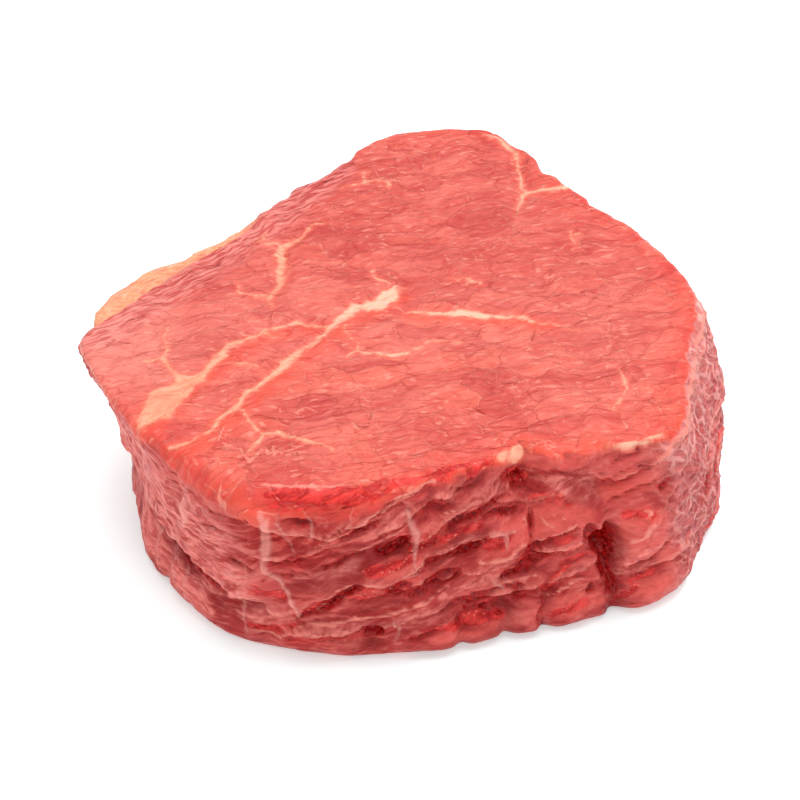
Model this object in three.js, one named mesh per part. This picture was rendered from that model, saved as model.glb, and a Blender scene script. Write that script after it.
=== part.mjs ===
import * as THREE from "three";

// A thick raw eye round steak lying on its flat underside, in millimetres, +Z up.
// The side wall is lofted from a cut rim at the top to a foot at the bottom, station by station round
// the piece, and carries the shingled lips, creases and lumps of the torn fibre. The top is a shallow,
// uneven knife cut that rolls over at its rim. Angles are degrees from +X, counter-clockwise from above.

// Driving sizes
const THICKNESS = 32;
const MEAN_RADIUS = 48; // turns an angle along the wall into millimetres
const FOOT_ROUND = 3.2; // height of the rounded bottom edge
const PLAN_ZERO = [-1, -6]; // the zero of the plan that top marks are placed on, in the part's frame
const CENTRING = [-0.26, 0.43]; // moves the finished piece so that its box stands over the origin

// Stations round the steak: angle, rim radius, foot radius, and how far the side bellies out half way up
const STATIONS = [
  [0, 46.0, 50.4, 2.6],
  [15, 43.8, 47.0, 2.6],
  [35, 40.8, 43.0, 2.2],
  [50, 41.4, 42.0, 1.8],
  [68, 48.0, 47.0, 1.2],
  [80, 49.2, 48.0, 1.2],
  [98, 44.4, 44.0, 1.6],
  [111, 36.9, 38.5, 2.2],
  [130, 32.7, 35.0, 3.0],
  [150, 33.8, 35.0, 3.0],
  [163, 39.2, 38.0, 1.5],
  [175, 47.4, 42.5, -0.5],
  [188, 53.0, 45.4, -2.0],
  [203, 52.4, 48.4, -2.4],
  [222, 52.0, 51.8, -0.6],
  [241, 52.4, 52.8, 0.6],
  [255, 49.6, 51.6, 1.0],
  [270, 44.8, 49.8, 0.4],
  [288, 41.6, 48.6, 0.2],
  [303, 43.6, 50.2, 0.2],
  [313, 47.6, 53.4, 0.6],
  [321, 50.8, 55.0, 1.0],
  [335, 48.8, 54.4, 1.6],
  [348, 46.4, 52.6, 2.4],
];

// How the cut edge rolls over: angle, inset of the roll, drop of the roll
const ROLLS = [
  [10, 1.4, 1.2],
  [60, 1.6, 1.4],
  [112, 3.0, 1.8],
  [140, 5.5, 3.0],
  [168, 4.5, 2.6],
  [188, 1.8, 1.6],
  [220, 1.6, 1.6],
  [240, 3.4, 3.2],
  [257, 3.8, 3.6],
  [271, 1.6, 1.5],
  [300, 1.2, 1.2],
  [330, 1.4, 1.4],
];

// Lips: lower edges of overhanging layers, as angle and height along the wall. "out" is how far the layer
// above stands out, "under" how deep the crease below it is, "reach" how fast both fade up and down.
const LIPS = [
  { out: 1.0, under: 1.0, reach: 2.8, line: [[229.5, 26.8], [232, 24.9], [236, 24.1], [240, 25.0], [244, 27.0]] },
  { out: 1.6, under: 1.5, reach: 3.4, line: [[245, 25.6], [249, 24.3], [256, 23.6], [260, 24.6], [267, 28.0], [277, 30.6]] },
  { out: 1.2, under: 1.7, reach: 2.8, line: [[246, 19.4], [251, 19.5], [259, 21.6], [266, 23.5], [274, 26.2], [285, 29.6]] },
  { out: 1.1, under: 1.5, reach: 2.4, line: [[272, 20.8], [277, 22.2], [282, 24.6], [286, 24.8], [290, 24.0]] },
  { out: 0.6, under: 0.9, reach: 2.0, line: [[287, 25.6], [290, 23.6], [295, 22.7], [299, 23.9]] },
  { out: 1.3, under: 1.9, reach: 2.8, line: [[248, 8.4], [252, 9.8], [258, 12.8], [264, 14.6], [271, 15.8], [278, 17.8], [287, 18.9]] },
  { out: 0.9, under: 1.3, reach: 2.0, line: [[262, 11.6], [268, 12.6], [275, 12.6], [282, 13.0], [288, 13.8]] },
  { out: 1.2, under: 2.8, reach: 2.8, line: [[287, 13.9], [293, 14.5], [297, 15.1], [301, 15.0], [306, 16.4], [309, 18.4]] },
  { out: 1.3, under: 1.7, reach: 2.2, line: [[247, 4.0], [254, 5.0], [262, 5.4], [269, 7.0], [278, 8.1], [288, 7.9], [296, 8.6]] },
  { out: 1.0, under: 0.8, reach: 1.8, line: [[295, 8.4], [300, 8.9], [304, 9.6], [307, 10.8]] },
  { out: 1.6, under: 1.3, reach: 3.0, line: [[310, 14.4], [314, 14.9], [317, 16.4], [319, 19.4], [323, 22.4]] },
  { out: 0.8, under: 0.9, reach: 2.4, line: [[310, 7.4], [317, 7.6], [329, 6.6], [341, 7.0]] },
  { out: 1.1, under: 0.8, reach: 2.4, line: [[311, 24.6], [318, 26.6], [325, 28.2], [340, 27.6], [352, 26.4]] },
  { out: 0.8, under: 3.6, reach: 4.4, line: [[196, 18.6], [205, 17.0], [213, 15.3], [222, 13.2], [230, 12.1], [236, 9.7], [243, 10.6]] },
  { out: 0.8, under: 0.9, reach: 3.0, line: [[330, 15.0], [342, 17.5], [356, 16.0], [368, 13.5]] },
  { out: 1.0, under: 1.0, reach: 3.0, line: [[8, 22.5], [18, 20.0], [30, 18.6], [42, 16.0]] },
  { out: 1.1, under: 1.3, reach: 3.0, line: [[22, 10.5], [34, 12.4], [47, 11.0], [60, 8.4]] },
  { out: 1.0, under: 1.2, reach: 3.0, line: [[44, 24.0], [56, 22.4], [68, 19.0], [80, 17.6]] },
  { out: 1.0, under: 1.2, reach: 3.0, line: [[66, 9.4], [78, 11.2], [90, 9.8], [102, 7.6]] },
  { out: 0.9, under: 1.0, reach: 3.0, line: [[84, 25.4], [94, 22.6], [106, 20.4]] },
  { out: 1.8, under: 1.2, reach: 4.0, line: [[104, 14.0], [122, 11.6], [142, 12.6], [160, 15.6], [172, 19.0]] },
];

// Clefts: creases that run down the wall, as angle and height from top to bottom, with depth and half width
const CLEFTS = [
  { depth: 4.6, half: 1.9, line: [[308.4, 16.8], [308.0, 12.0], [308.4, 8.0]] },
  { depth: 1.3, half: 1.5, line: [[308.6, 7.0], [309.2, 3.0], [310.2, -1.0]] },
  { depth: 1.1, half: 1.3, line: [[296.4, 20.5], [296.0, 16.5]] },
  { depth: 1.2, half: 1.3, line: [[297.4, 8.0], [297.0, 4.0], [296.6, -1.0]] },
  { depth: 1.1, half: 1.3, line: [[289.4, 6.5], [289.2, 3.0], [289.0, -1.0]] },
  { depth: 1.0, half: 1.3, line: [[280.4, 5.0], [280.2, -1.0]] },
  { depth: 1.0, half: 1.4, line: [[222.0, 10.0], [221.4, 4.0], [220.6, -1.0]] },
  { depth: 1.4, half: 1.6, line: [[47.0, 18.0], [49.0, 11.0], [48.0, 4.0]] },
  { depth: 1.3, half: 1.6, line: [[83.0, 20.0], [81.0, 12.0], [83.5, 3.0]] },
];

// Knobs that stand out of the wall and, with a minus, hollows: angle, height, out, half width, half height
const KNOBS = [
  [267.5, 20.8, -1.5, 4.6, 1.7],
  [280.5, 29.4, -1.4, 4.8, 1.6],
  [293.8, 27.2, -1.8, 3.4, 2.0],
  [307.0, 26.0, -1.2, 2.2, 2.4],
  [255.5, 8.6, -1.2, 4.2, 1.6],
  [263.5, 3.4, -1.2, 4.0, 1.8],
  [285.0, 5.9, -1.2, 5.6, 1.4],
  [292.5, 11.9, -1.0, 4.4, 1.6],
  [315.0, 9.5, -1.2, 5.0, 3.0],
  [231.0, 10.4, -1.0, 4.6, 2.0],
  [291.5, 17.2, 1.1, 3.6, 3.2],
  [301.8, 19.4, 1.6, 5.2, 4.4],
  [314.4, 18.2, 1.2, 3.6, 3.2],
];

// Dents in the plan of the rim: angle, depth, half width in degrees
const NOTCHES = [
  [296, 1.6, 3.4],
  [309, 1.0, 2.4],
  [57, 1.3, 2.2],
  [40, 0.8, 3.0],
  [104, 0.9, 1.6],
  [227, 0.9, 1.5],
  [169, 1.6, 2.0],
];

// Marks of the cut top, on the plan: broad hollows and swells as [x, y, height, radius]
const SWELLS = [
  [-44, -2, -1.4, 9],
  [-33, 14, -0.8, 9],
  [-24, -10, 0.5, 8],
  [-8, -24, 0.6, 12],
  [16, -14, 0.5, 13],
  [24, 14, 0.5, 14],
  [-2, 28, -0.5, 13],
  [12, 46, -0.8, 10],
  [38, -24, -0.7, 9],
  [26, -27, -0.8, 5],
  [-34, -31, -0.8, 5],
];

// Strips of fat between the muscles, on the plan: the cut surface dips beside them by this much
const SEAM_DIP = 0.55;
const SEAM_REACH = 1.5;
const SEAMS = [
  [[-1, 8], [-4, 4.8], [-9.5, 1.6], [-13.2, -4], [-18, -10.5], [-23, -17], [-27.5, -23], [-30, -26.5], [-34.6, -29]],
  [[-13, 0.2], [-18, 0], [-24, -4.3], [-28.5, -9], [-32.5, -14], [-36, -19], [-39, -24]],
  [[1, 3.3], [7, 2.7], [12.5, 2], [18, 2], [22, 0.3]],
  [[-16, 23.5], [-19.3, 20], [-19.2, 12], [-20.7, 6.5]],
  [[18.5, 49], [20.2, 41], [20.6, 35.5], [19.2, 29.3]],
];

// Slow lumps on the wall: waves round the steak, waves up its height, phase, height
const LUMPS = [
  [9, -1.2, 5.2, 0.3],
  [17, 1.9, 0.4, 0.3],
];

// Mesh of the solid
const GRID = 20; // cells along each side of the top and bottom grids
const RING = 8 * GRID; // points round the wall
const ROLL_ROWS = 3;
const WALL_ROWS = 24;
const FOOT_ROWS = 3;
const RELAX_STEPS = 60;
const CRAG_MIDDLE = 272; // the craggy sector of the wall: its middle and half its spread, in degrees
const CRAG_SPREAD = 64;
const LIP_SOFTNESS = 0.9; // half height over which a lip turns into its crease
const LIP_END = 3; // distance over which a lip dies away past its ends
const CLEFT_END = 2.2; // the same for a cleft

const radians = THREE.MathUtils.degToRad;
const { lerp } = THREE.MathUtils;

// Column of a table of stations at any angle, as a smooth closed curve through them
function round(table, angle, column) {
  const count = table.length;
  const turned = (((angle - table[0][0]) % 360) + 360) % 360 + table[0][0];
  let next = table.findIndex((row) => row[0] > turned);
  if (next < 0) next = count;
  const at = (i) => {
    const row = table[((i % count) + count) % count];
    return [row[0] + 360 * Math.floor(i / count), row[column]];
  };
  const [p0, p1, p2, p3] = [at(next - 2), at(next - 1), at(next), at(next + 1)];
  const span = p2[0] - p1[0];
  const t = (turned - p1[0]) / span;
  const m1 = ((p2[1] - p0[1]) / (p2[0] - p0[0])) * span;
  const m2 = ((p3[1] - p1[1]) / (p3[0] - p1[0])) * span;
  const a = 2 * t ** 3 - 3 * t ** 2 + 1;
  const b = t ** 3 - 2 * t ** 2 + t;
  return a * p1[1] + b * m1 + (1 - a) * p2[1] + (t ** 3 - t ** 2) * m2;
}

// Value of a line of points [input, output] at an input between its ends
function along(line, input) {
  let i = 1;
  while (i < line.length - 1 && line[i][0] < input) i += 1;
  const [a, b] = [line[i - 1], line[i]];
  return lerp(a[1], b[1], (input - a[0]) / (b[0] - a[0]));
}

// Signed gap in degrees from one angle to another
const turnTo = (angle, other) => ((((angle - other) % 360) + 540) % 360) - 180;

function lipRelief(lip, angle, z) {
  const first = lip.line[0][0];
  const last = lip.line.at(-1)[0];
  const middle = (first + last) / 2;
  const here = middle + turnTo(angle, middle);
  const beyond = Math.max(first - here, here - last, 0) * radians(1) * MEAN_RADIUS;
  const fade = Math.exp(-((beyond / LIP_END) ** 2));
  if (fade < 0.01) return 0;
  const inside = Math.min(Math.max(here, first), last);
  const gap = z - along(lip.line, inside);
  const side = gap / Math.hypot(gap, LIP_SOFTNESS);
  const height = side > 0 ? lip.out : lip.under;
  return fade * side * height * Math.exp(-Math.abs(gap) / lip.reach);
}

function cleftRelief(cleft, angle, z) {
  const top = cleft.line[0][1];
  const bottom = cleft.line.at(-1)[1];
  const beyond = Math.max(z - top, bottom - z, 0);
  const inside = Math.min(Math.max(z, bottom), top);
  const swapped = cleft.line.map(([a, h]) => [-h, a]);
  const gap = turnTo(angle, along(swapped, -inside)) * radians(1) * MEAN_RADIUS;
  return -cleft.depth * Math.exp(-((gap / cleft.half) ** 2) - (beyond / CLEFT_END) ** 2);
}

function knobRelief([at, height, out, halfWidth, halfHeight], angle, z) {
  const across = (turnTo(angle, at) * radians(1) * MEAN_RADIUS) / halfWidth;
  const up = (z - height) / halfHeight;
  return out * Math.exp(-(across ** 2) - up ** 2);
}

function lumpRelief(angle, z) {
  const a = radians(angle);
  return LUMPS.reduce(
    (sum, [turns, rise, phase, height]) => sum + height * Math.sin(turns * a + (rise * z) / 10 + phase),
    0,
  );
}

// Distance of the wall from the middle, at a height
function wallRadius(angle, z) {
  const t = z / THICKNESS;
  let r = lerp(round(STATIONS, angle, 2), round(STATIONS, angle, 1), t);
  r += round(STATIONS, angle, 3) * 4 * t * (1 - t);
  for (const [at, depth, half] of NOTCHES) {
    r -= depth * t ** 2 * Math.exp(-((turnTo(angle, at) / half) ** 2));
  }
  const calm = THREE.MathUtils.smoothstep(THICKNESS - z, 0, 4);
  r += lumpRelief(angle, z) * (0.3 + 0.7 * calm);
  for (const lip of LIPS) r += lipRelief(lip, angle, z) * (0.25 + 0.75 * calm);
  for (const cleft of CLEFTS) r += cleftRelief(cleft, angle, z);
  for (const knob of KNOBS) r += knobRelief(knob, angle, z);
  return r;
}

// Distance from a plan point to a line of plan points
function distanceTo(line, x, y) {
  let best = Infinity;
  for (let i = 1; i < line.length; i += 1) {
    const [ax, ay] = line[i - 1];
    const [bx, by] = [line[i][0] - ax, line[i][1] - ay];
    const t = THREE.MathUtils.clamp(((x - ax) * bx + (y - ay) * by) / (bx * bx + by * by), 0, 1);
    best = Math.min(best, Math.hypot(x - ax - t * bx, y - ay - t * by));
  }
  return best;
}

// Height of the cut top over a point of the part's frame
function topHeight(x, y) {
  const [px, py] = [x - PLAN_ZERO[0], y - PLAN_ZERO[1]];
  let z = THICKNESS;
  for (const [sx, sy, height, radius] of SWELLS) {
    z += height * Math.exp(-((px - sx) ** 2 + (py - sy) ** 2) / radius ** 2);
  }
  for (const seam of SEAMS) {
    z -= SEAM_DIP * Math.exp(-((distanceTo(seam, px, py) / SEAM_REACH) ** 2));
  }
  return z;
}

// Angles of the ring's points, spaced by distance along the rim and closer where the wall is craggiest
function ringAngles() {
  const steps = 3600;
  const walked = [0];
  const rimPoint = (angle) => {
    const r = round(STATIONS, angle, 1);
    return [r * Math.cos(radians(angle)), r * Math.sin(radians(angle))];
  };
  for (let i = 1; i <= steps; i += 1) {
    const [a, b] = [rimPoint(((i - 1) * 360) / steps), rimPoint((i * 360) / steps)];
    const crag = Math.exp(-((turnTo((i * 360) / steps, CRAG_MIDDLE) / CRAG_SPREAD) ** 4));
    walked.push(walked[i - 1] + Math.hypot(b[0] - a[0], b[1] - a[1]) * (1 + crag));
  }
  const line = walked.map((length, i) => [length, (i * 360) / steps]);
  return Array.from({ length: RING }, (_, i) => along(line, (walked[steps] * i) / RING));
}

// Section of the steak at an angle: points from the cut top, over the rim, down the wall and under the foot
function section(angle) {
  const inset = round(ROLLS, angle, 1);
  const drop = round(ROLLS, angle, 2);
  const place = (r, z) => [r * Math.cos(radians(angle)), r * Math.sin(radians(angle)), z];
  const rim = wallRadius(angle, THICKNESS) - inset;
  const crest = topHeight(...place(rim, 0));
  const points = [];
  for (let i = 0; i <= ROLL_ROWS; i += 1) {
    const turn = (i / ROLL_ROWS) * (Math.PI / 2);
    const z = crest - drop * (1 - Math.cos(turn));
    points.push(place(wallRadius(angle, z) - inset * (1 - Math.sin(turn)), z));
  }
  for (let i = 1; i <= WALL_ROWS; i += 1) {
    const z = lerp(crest - drop, FOOT_ROUND, i / WALL_ROWS);
    points.push(place(wallRadius(angle, z), z));
  }
  for (let i = 1; i <= FOOT_ROWS; i += 1) {
    const turn = (i / FOOT_ROWS) * (Math.PI / 2);
    const z = i < FOOT_ROWS ? FOOT_ROUND * (1 - Math.sin(turn)) : 0;
    points.push(place(wallRadius(angle, z) - 0.9 * FOOT_ROUND * (1 - Math.cos(turn)), z));
  }
  return points;
}

// Plan of a square grid whose border is a closed ring of 4 * GRID points, evened out inside
function gridPlan(ring) {
  const at = (i, j) => {
    if (j === 0) return ring[i];
    if (i === GRID) return ring[GRID + j];
    if (j === GRID) return ring[3 * GRID - i];
    return ring[(4 * GRID - j) % (4 * GRID)];
  };
  const plan = [];
  for (let i = 0; i <= GRID; i += 1) {
    plan.push([]);
    for (let j = 0; j <= GRID; j += 1) {
      const edge = i === 0 || j === 0 || i === GRID || j === GRID;
      const [u, v] = [i / GRID, j / GRID];
      const blend = (k) =>
        lerp(at(0, j)[k], at(GRID, j)[k], u) + lerp(at(i, 0)[k], at(i, GRID)[k], v) -
        lerp(lerp(at(0, 0)[k], at(GRID, 0)[k], u), lerp(at(0, GRID)[k], at(GRID, GRID)[k], u), v);
      plan[i].push(edge ? at(i, j).slice(0, 2) : [blend(0), blend(1)]);
    }
  }
  for (let step = 0; step < RELAX_STEPS; step += 1) {
    for (let i = 1; i < GRID; i += 1) {
      for (let j = 1; j < GRID; j += 1) {
        const near = [plan[i - 1][j], plan[i + 1][j], plan[i][j - 1], plan[i][j + 1]];
        plan[i][j] = [0, 1].map((k) => near.reduce((sum, p) => sum + p[k], 0) / 4);
      }
    }
  }
  return plan;
}

// The closed surface: top grid, wall bands and bottom grid, each grid joined to the wall two points to one
function steakGeometry() {
  const vertices = [];
  const faces = [];
  const add = (point) => vertices.push(point) - 1;
  const sections = ringAngles().map(section);
  const rows = sections[0].length;
  const wall = Array.from({ length: rows }, (_, row) => sections.map((points) => add(points[row])));
  for (let row = 1; row < rows; row += 1) {
    for (let i = 0; i < RING; i += 1) {
      const j = (i + 1) % RING;
      const [a, b, c, d] = [wall[row - 1][i], wall[row - 1][j], wall[row][j], wall[row][i]];
      if ((i + row) % 2) faces.push([a, d, b], [b, d, c]);
      else faces.push([a, c, b], [a, d, c]);
    }
  }
  const cap = (outer, heightAt, scale, flip) => {
    const shrunk = (i) => {
      const [x, y] = vertices[outer[2 * i]];
      return [x * scale, y * scale];
    };
    const ring = Array.from({ length: 4 * GRID }, (_, i) => shrunk(i));
    const plan = gridPlan(ring);
    const index = plan.map((line) => line.map(([x, y]) => add([x, y, heightAt(x, y)])));
    const border = [];
    for (let i = 0; i < GRID; i += 1) border.push(index[i][0]);
    for (let j = 0; j < GRID; j += 1) border.push(index[GRID][j]);
    for (let i = GRID; i > 0; i -= 1) border.push(index[i][GRID]);
    for (let j = GRID; j > 0; j -= 1) border.push(index[0][j]);
    const put = (a, b, c) => faces.push(flip ? [a, c, b] : [a, b, c]);
    for (let i = 0; i < 4 * GRID; i += 1) {
      const [near, next] = [border[i], border[(i + 1) % (4 * GRID)]];
      const [first, middle, last] = [outer[2 * i], outer[2 * i + 1], outer[(2 * i + 2) % RING]];
      put(near, first, middle);
      put(near, middle, next);
      put(next, middle, last);
    }
    for (let i = 0; i < GRID; i += 1) {
      for (let j = 0; j < GRID; j += 1) {
        const [a, b, c, d] = [index[i][j], index[i + 1][j], index[i + 1][j + 1], index[i][j + 1]];
        put(a, b, c);
        put(a, c, d);
      }
    }
  };
  cap(wall[0], topHeight, 0.97, false);
  cap(wall[rows - 1], () => 0, 0.97, true);
  const geometry = new THREE.BufferGeometry();
  geometry.setAttribute("position", new THREE.Float32BufferAttribute(vertices.flat(), 3));
  geometry.setIndex(faces.flat());
  geometry.computeVertexNormals();
  return geometry;
}

const meat = new THREE.MeshStandardMaterial({ color: 0xc8443c, roughness: 0.35, metalness: 0 });

const steak = new THREE.Mesh(steakGeometry(), meat);
steak.name = "steak";
steak.position.set(CENTRING[0], CENTRING[1], 0);

const model = new THREE.Group();
model.add(steak);
export default model;
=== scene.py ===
import math

import bpy
import numpy as np
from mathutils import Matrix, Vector


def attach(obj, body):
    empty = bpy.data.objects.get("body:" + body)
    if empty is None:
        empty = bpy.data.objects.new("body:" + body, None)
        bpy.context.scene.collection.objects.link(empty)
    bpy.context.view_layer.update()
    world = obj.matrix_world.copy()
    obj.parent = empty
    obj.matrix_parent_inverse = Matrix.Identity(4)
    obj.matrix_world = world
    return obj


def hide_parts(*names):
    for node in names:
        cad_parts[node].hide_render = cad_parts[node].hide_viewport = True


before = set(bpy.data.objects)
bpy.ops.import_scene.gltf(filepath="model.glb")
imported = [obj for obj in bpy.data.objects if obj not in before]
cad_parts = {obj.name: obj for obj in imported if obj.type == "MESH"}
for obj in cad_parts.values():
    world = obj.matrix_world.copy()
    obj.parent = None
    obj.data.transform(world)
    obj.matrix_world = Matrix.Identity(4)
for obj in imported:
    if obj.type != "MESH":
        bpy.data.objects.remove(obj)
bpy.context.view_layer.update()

# A thick raw eye round steak on a plain white floor. The form is worked out in millimetres with the
# same named values as its solid, and made into metres when the mesh is built. Angles are degrees from
# +X, counter-clockwise from above. "Plan" is the pair of axes that marks on the cut top are placed on.
MM = 0.001

# Driving sizes, and where the steak's middle and the plan's zero lie
THICKNESS = 32.0
MEAN_RADIUS = 48.0
FOOT_ROUND = 3.2
FOOT_TUCK = 0.9
CENTRING = np.array([-0.26, 0.43])
PLAN_ZERO = np.array([-1.0, -6.0])

# Stations round the steak: angle, rim radius, foot radius, and how far the side bellies out half way up
STATIONS = np.array([
    [0, 46, 50.4, 2.6], [15, 43.8, 47, 2.6], [35, 40.8, 43, 2.2], [50, 41.4, 42, 1.8], [68, 48, 47, 1.2],
    [80, 49.2, 48, 1.2], [98, 44.4, 44, 1.6], [111, 36.9, 38.5, 2.2], [130, 33.5, 35.6, 3.1],
    [150, 33.2, 34.6, 2.6], [163, 38.8, 37.6, 1.3], [175, 46.4, 42.2, -0.6], [188, 52.4, 45, -3.2],
    [203, 52, 48, -3.4], [222, 51.6, 51, -1], [241, 52.4, 53.4, 0.6], [255, 49.6, 50.9, 1],
    [270, 44.8, 49.8, 0.4], [288, 41.6, 48.6, 0.2], [303, 43.6, 50.2, 0.2], [313, 47.6, 54.4, 0.5],
    [321, 50.8, 55.4, 0.8], [335, 48.8, 53.4, 1.2], [348, 46.4, 51.6, 2],
])

# How the cut edge rolls over: angle, inset of the roll, drop of the roll
ROLLS = np.array([
    [10, 1.4, 1.2], [60, 1.6, 1.4], [112, 1.8, 1.5], [135, 1.3, 1.3], [150, 1.3, 1.7], [158, 2, 2.2],
    [165, 3.4, 2.6], [171, 5.4, 3], [177, 5.9, 3.2], [183, 5.4, 3], [188, 2.8, 2.2], [193, 1.2, 1.4],
    [220, 1.6, 1.6], [240, 3.4, 3.2], [257, 3.8, 3.6], [271, 1.6, 1.5], [300, 1.2, 1.2], [330, 1.4, 1.4],
])

# Regions round the side: the angles where each begins and is whole, and where it is gone again and whole
FAT_SHELF = ((133, 145), (190, 183))
LEFT_SIDE = ((196, 207), (249, 238))
FRONT_EDGE = ((262, 272), (326, 316))
TORN_EDGE = ((262, 285), (330, 318))
RIGHT_SIDE = ((316, 324), (62, 20))

# Lips, the lower edges of overhanging layers: out, under, reach, then the line as angle and height. Then
# the first seed, how soft and how long the ends are, and how a lip hangs down and its torn edge is raised
LIPS = [
    (1, 1, 2.8, [(229.5, 26.8), (232, 24.9), (236, 24.1), (240, 25), (244, 27)]),
    (1.6, 1.5, 3.4, [(245, 25.6), (249, 24.3), (256, 23.6), (260, 24.6), (267, 28), (277, 30.6)]),
    (1.2, 1.7, 2.8, [(246, 19.4), (251, 19.5), (259, 21.6), (266, 23.5), (274, 26.2), (285, 29.6)]),
    (1.1, 1.5, 2.4, [(272, 20.8), (277, 22.2), (282, 24.6), (286, 24.8), (290, 24)]),
    (0.6, 0.9, 2, [(287, 25.6), (290, 23.6), (295, 22.7), (299, 23.9)]),
    (1.3, 1.9, 2.8, [(248, 8.4), (252, 9.8), (258, 12.8), (264, 14.6), (271, 15.8), (278, 17.8),
     (287, 18.9)]),
    (0.9, 1.3, 2, [(262, 11.6), (268, 12.6), (275, 12.6), (282, 13), (288, 13.8)]),
    (1.2, 1.9, 2.8, [(287, 13.5), (293, 13.8), (297, 13.9), (301, 13.6), (304.6, 14.6), (306.8, 16.2)]),
    (1.3, 1.7, 2.2, [(247, 4), (254, 5), (262, 5.4), (269, 7), (278, 8.1), (288, 7.9), (296, 8.6)]),
    (1, 0.8, 1.8, [(295, 8.4), (300, 8.9), (304, 9.6), (307, 10.8)]),
    (0.8, 0.5, 3, [(310, 14.4), (314, 14.9), (317, 16.4), (319, 19.4), (323, 22.4)]),
    (0.8, 0.9, 2.4, [(310, 7.4), (317, 7.6), (329, 6.6), (341, 7)]),
    (1.1, 0.8, 2.4, [(311, 24.6), (318, 26.6), (325, 28.2), (340, 27.6), (352, 26.4)]),
    (0.8, 3.6, 4.4, [(196, 18.6), (205, 17), (213, 15.3), (222, 13.2), (230, 12.1), (236, 9.7),
     (243, 10.6)]),
    (0.8, 0.9, 3, [(330, 15), (342, 17.5), (356, 16), (368, 13.5)]),
    (1, 1, 3, [(8, 22.5), (18, 20), (30, 18.6), (42, 16)]),
    (1.1, 1.3, 3, [(22, 10.5), (34, 12.4), (47, 11), (60, 8.4)]),
    (1, 1.2, 3, [(44, 24), (56, 22.4), (68, 19), (80, 17.6)]),
    (1, 1.2, 3, [(66, 9.4), (78, 11.2), (90, 9.8), (102, 7.6)]),
    (0.9, 1, 3, [(84, 25.4), (94, 22.6), (106, 20.4)]),
    (1.8, 1.2, 4, [(104, 14), (122, 11.6), (142, 12.6), (160, 15.6), (172, 19)]),
]
LIP_SEED = 100
LIP_SOFTNESS = 0.4
LIP_END = 3.0
LIP_HANG = 0.6
LIP_HANG_REACH = 1.4
LIP_FULL = 2.4
LIP_RISE = 0.8
LIP_LIFT = 0.3

# Clefts down the wall: depth, half width, then the line as angle and height from top to bottom
CLEFTS = [
    (4.2, 1.5, [(309.3, 16.8), (309.5, 13.4)]), (1.8, 1.6, [(309, 11), (309.6, 5), (310.6, -1)]),
    (0.8, 1.2, [(296, 20.5), (295.6, 16.5)]), (1.2, 1.3, [(297.4, 8), (297, 4), (296.6, -1)]),
    (1.1, 1.3, [(289.4, 6.5), (289.2, 3), (289, -1)]), (1, 1.3, [(280.4, 5), (280.2, -1)]),
    (1, 1.4, [(222, 10), (221.4, 4), (220.6, -1)]), (1.4, 1.6, [(47, 18), (49, 11), (48, 4)]),
    (1.3, 1.6, [(83, 20), (81, 12), (83.5, 3)]),
]
CLEFT_END = 2.2

# Knobs that stand out of the wall and, with a minus, hollows: angle, height, half width, half height, out
KNOBS = [
    (267.5, 20.8, 4.6, 1.7, -1.5), (280.5, 29.4, 4.8, 1.6, -1.4), (293.8, 27.2, 3.4, 2, -1.8),
    (307, 26, 2.2, 2.4, -1.2), (255.5, 8.6, 4.2, 1.6, -1.2), (263.5, 3.4, 4, 1.8, -1.2),
    (285, 5.9, 5.6, 1.4, -1.2), (292.5, 11.9, 4.4, 1.6, -1), (315, 9.5, 5, 3, -1.2),
    (231, 10.4, 4.6, 2, -1), (290.2, 19.2, 3.6, 3.2, 1.1), (299.9, 20.4, 5.2, 4.4, 1.6),
    (313.4, 18.8, 3.6, 3.2, 1.2),
]

# Dark pit at the bottom of the deepest cleft: angle, height, half width, half height
PIT = (308.8, 14.8, 1.4, 2.5)

# Dents in the plan of the rim: angle, depth, half width in degrees
NOTCHES = [
    (296, 1.6, 3.4), (309, 1, 2.4), (344, 1.5, 12), (74, -1, 4), (120, -0.8, 6), (140, -0.7, 9),
    (57, 1.3, 2.2), (40, 0.8, 3), (104, 0.9, 1.6), (227, 0.9, 1.5),
]

# Tongue of outer fat that stands out below the cut edge at the back left: angle, how far out
FAT_TONGUE = np.array([
    [90, 0], [128, 0], [138, 0.5], [145, 1.9], [152, 2.2], [159, 2], [163.5, 3.6], [170, 3], [176, 2.6],
    [181, 1.8], [186, 0], [230, 0], [320, 0],
])
TONGUE_HEIGHT = 27.4
TONGUE_HALF = 2.3

# Lumps of fat on the cut edge: angle, distance below the edge, half width, half height, out
EDGE_FAT = [
    (294, 0.5, 2.3, 1.5, 0.9), (290.6, -0.4, 1.4, 0.9, 0.3), (315, 0.4, 2.9, 0.9, 0.5),
    (318.6, -0.4, 1.4, 0.6, 0.4),
]

# Broad hollows and swells of the cut top, on the plan: x, y, height, radius
SWELLS = [
    (-44, -2, -0.2, 9), (-33, 14, -0.8, 9), (-24, -10, 0.5, 8), (-8, -24, 0.6, 12), (16, -14, 0.5, 13),
    (24, 14, 0.5, 14), (-2, 28, -0.5, 13), (12, 46, -0.8, 10), (38, -24, -0.7, 9), (26, -27, -0.8, 5),
    (-34, -31, -0.8, 5),
]

# Slow lumps on the wall: waves round the steak, waves up its height, phase, height
LUMPS = [(9, -1.2, 5.2, 0.3), (17, 1.9, 0.4, 0.3)]

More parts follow.
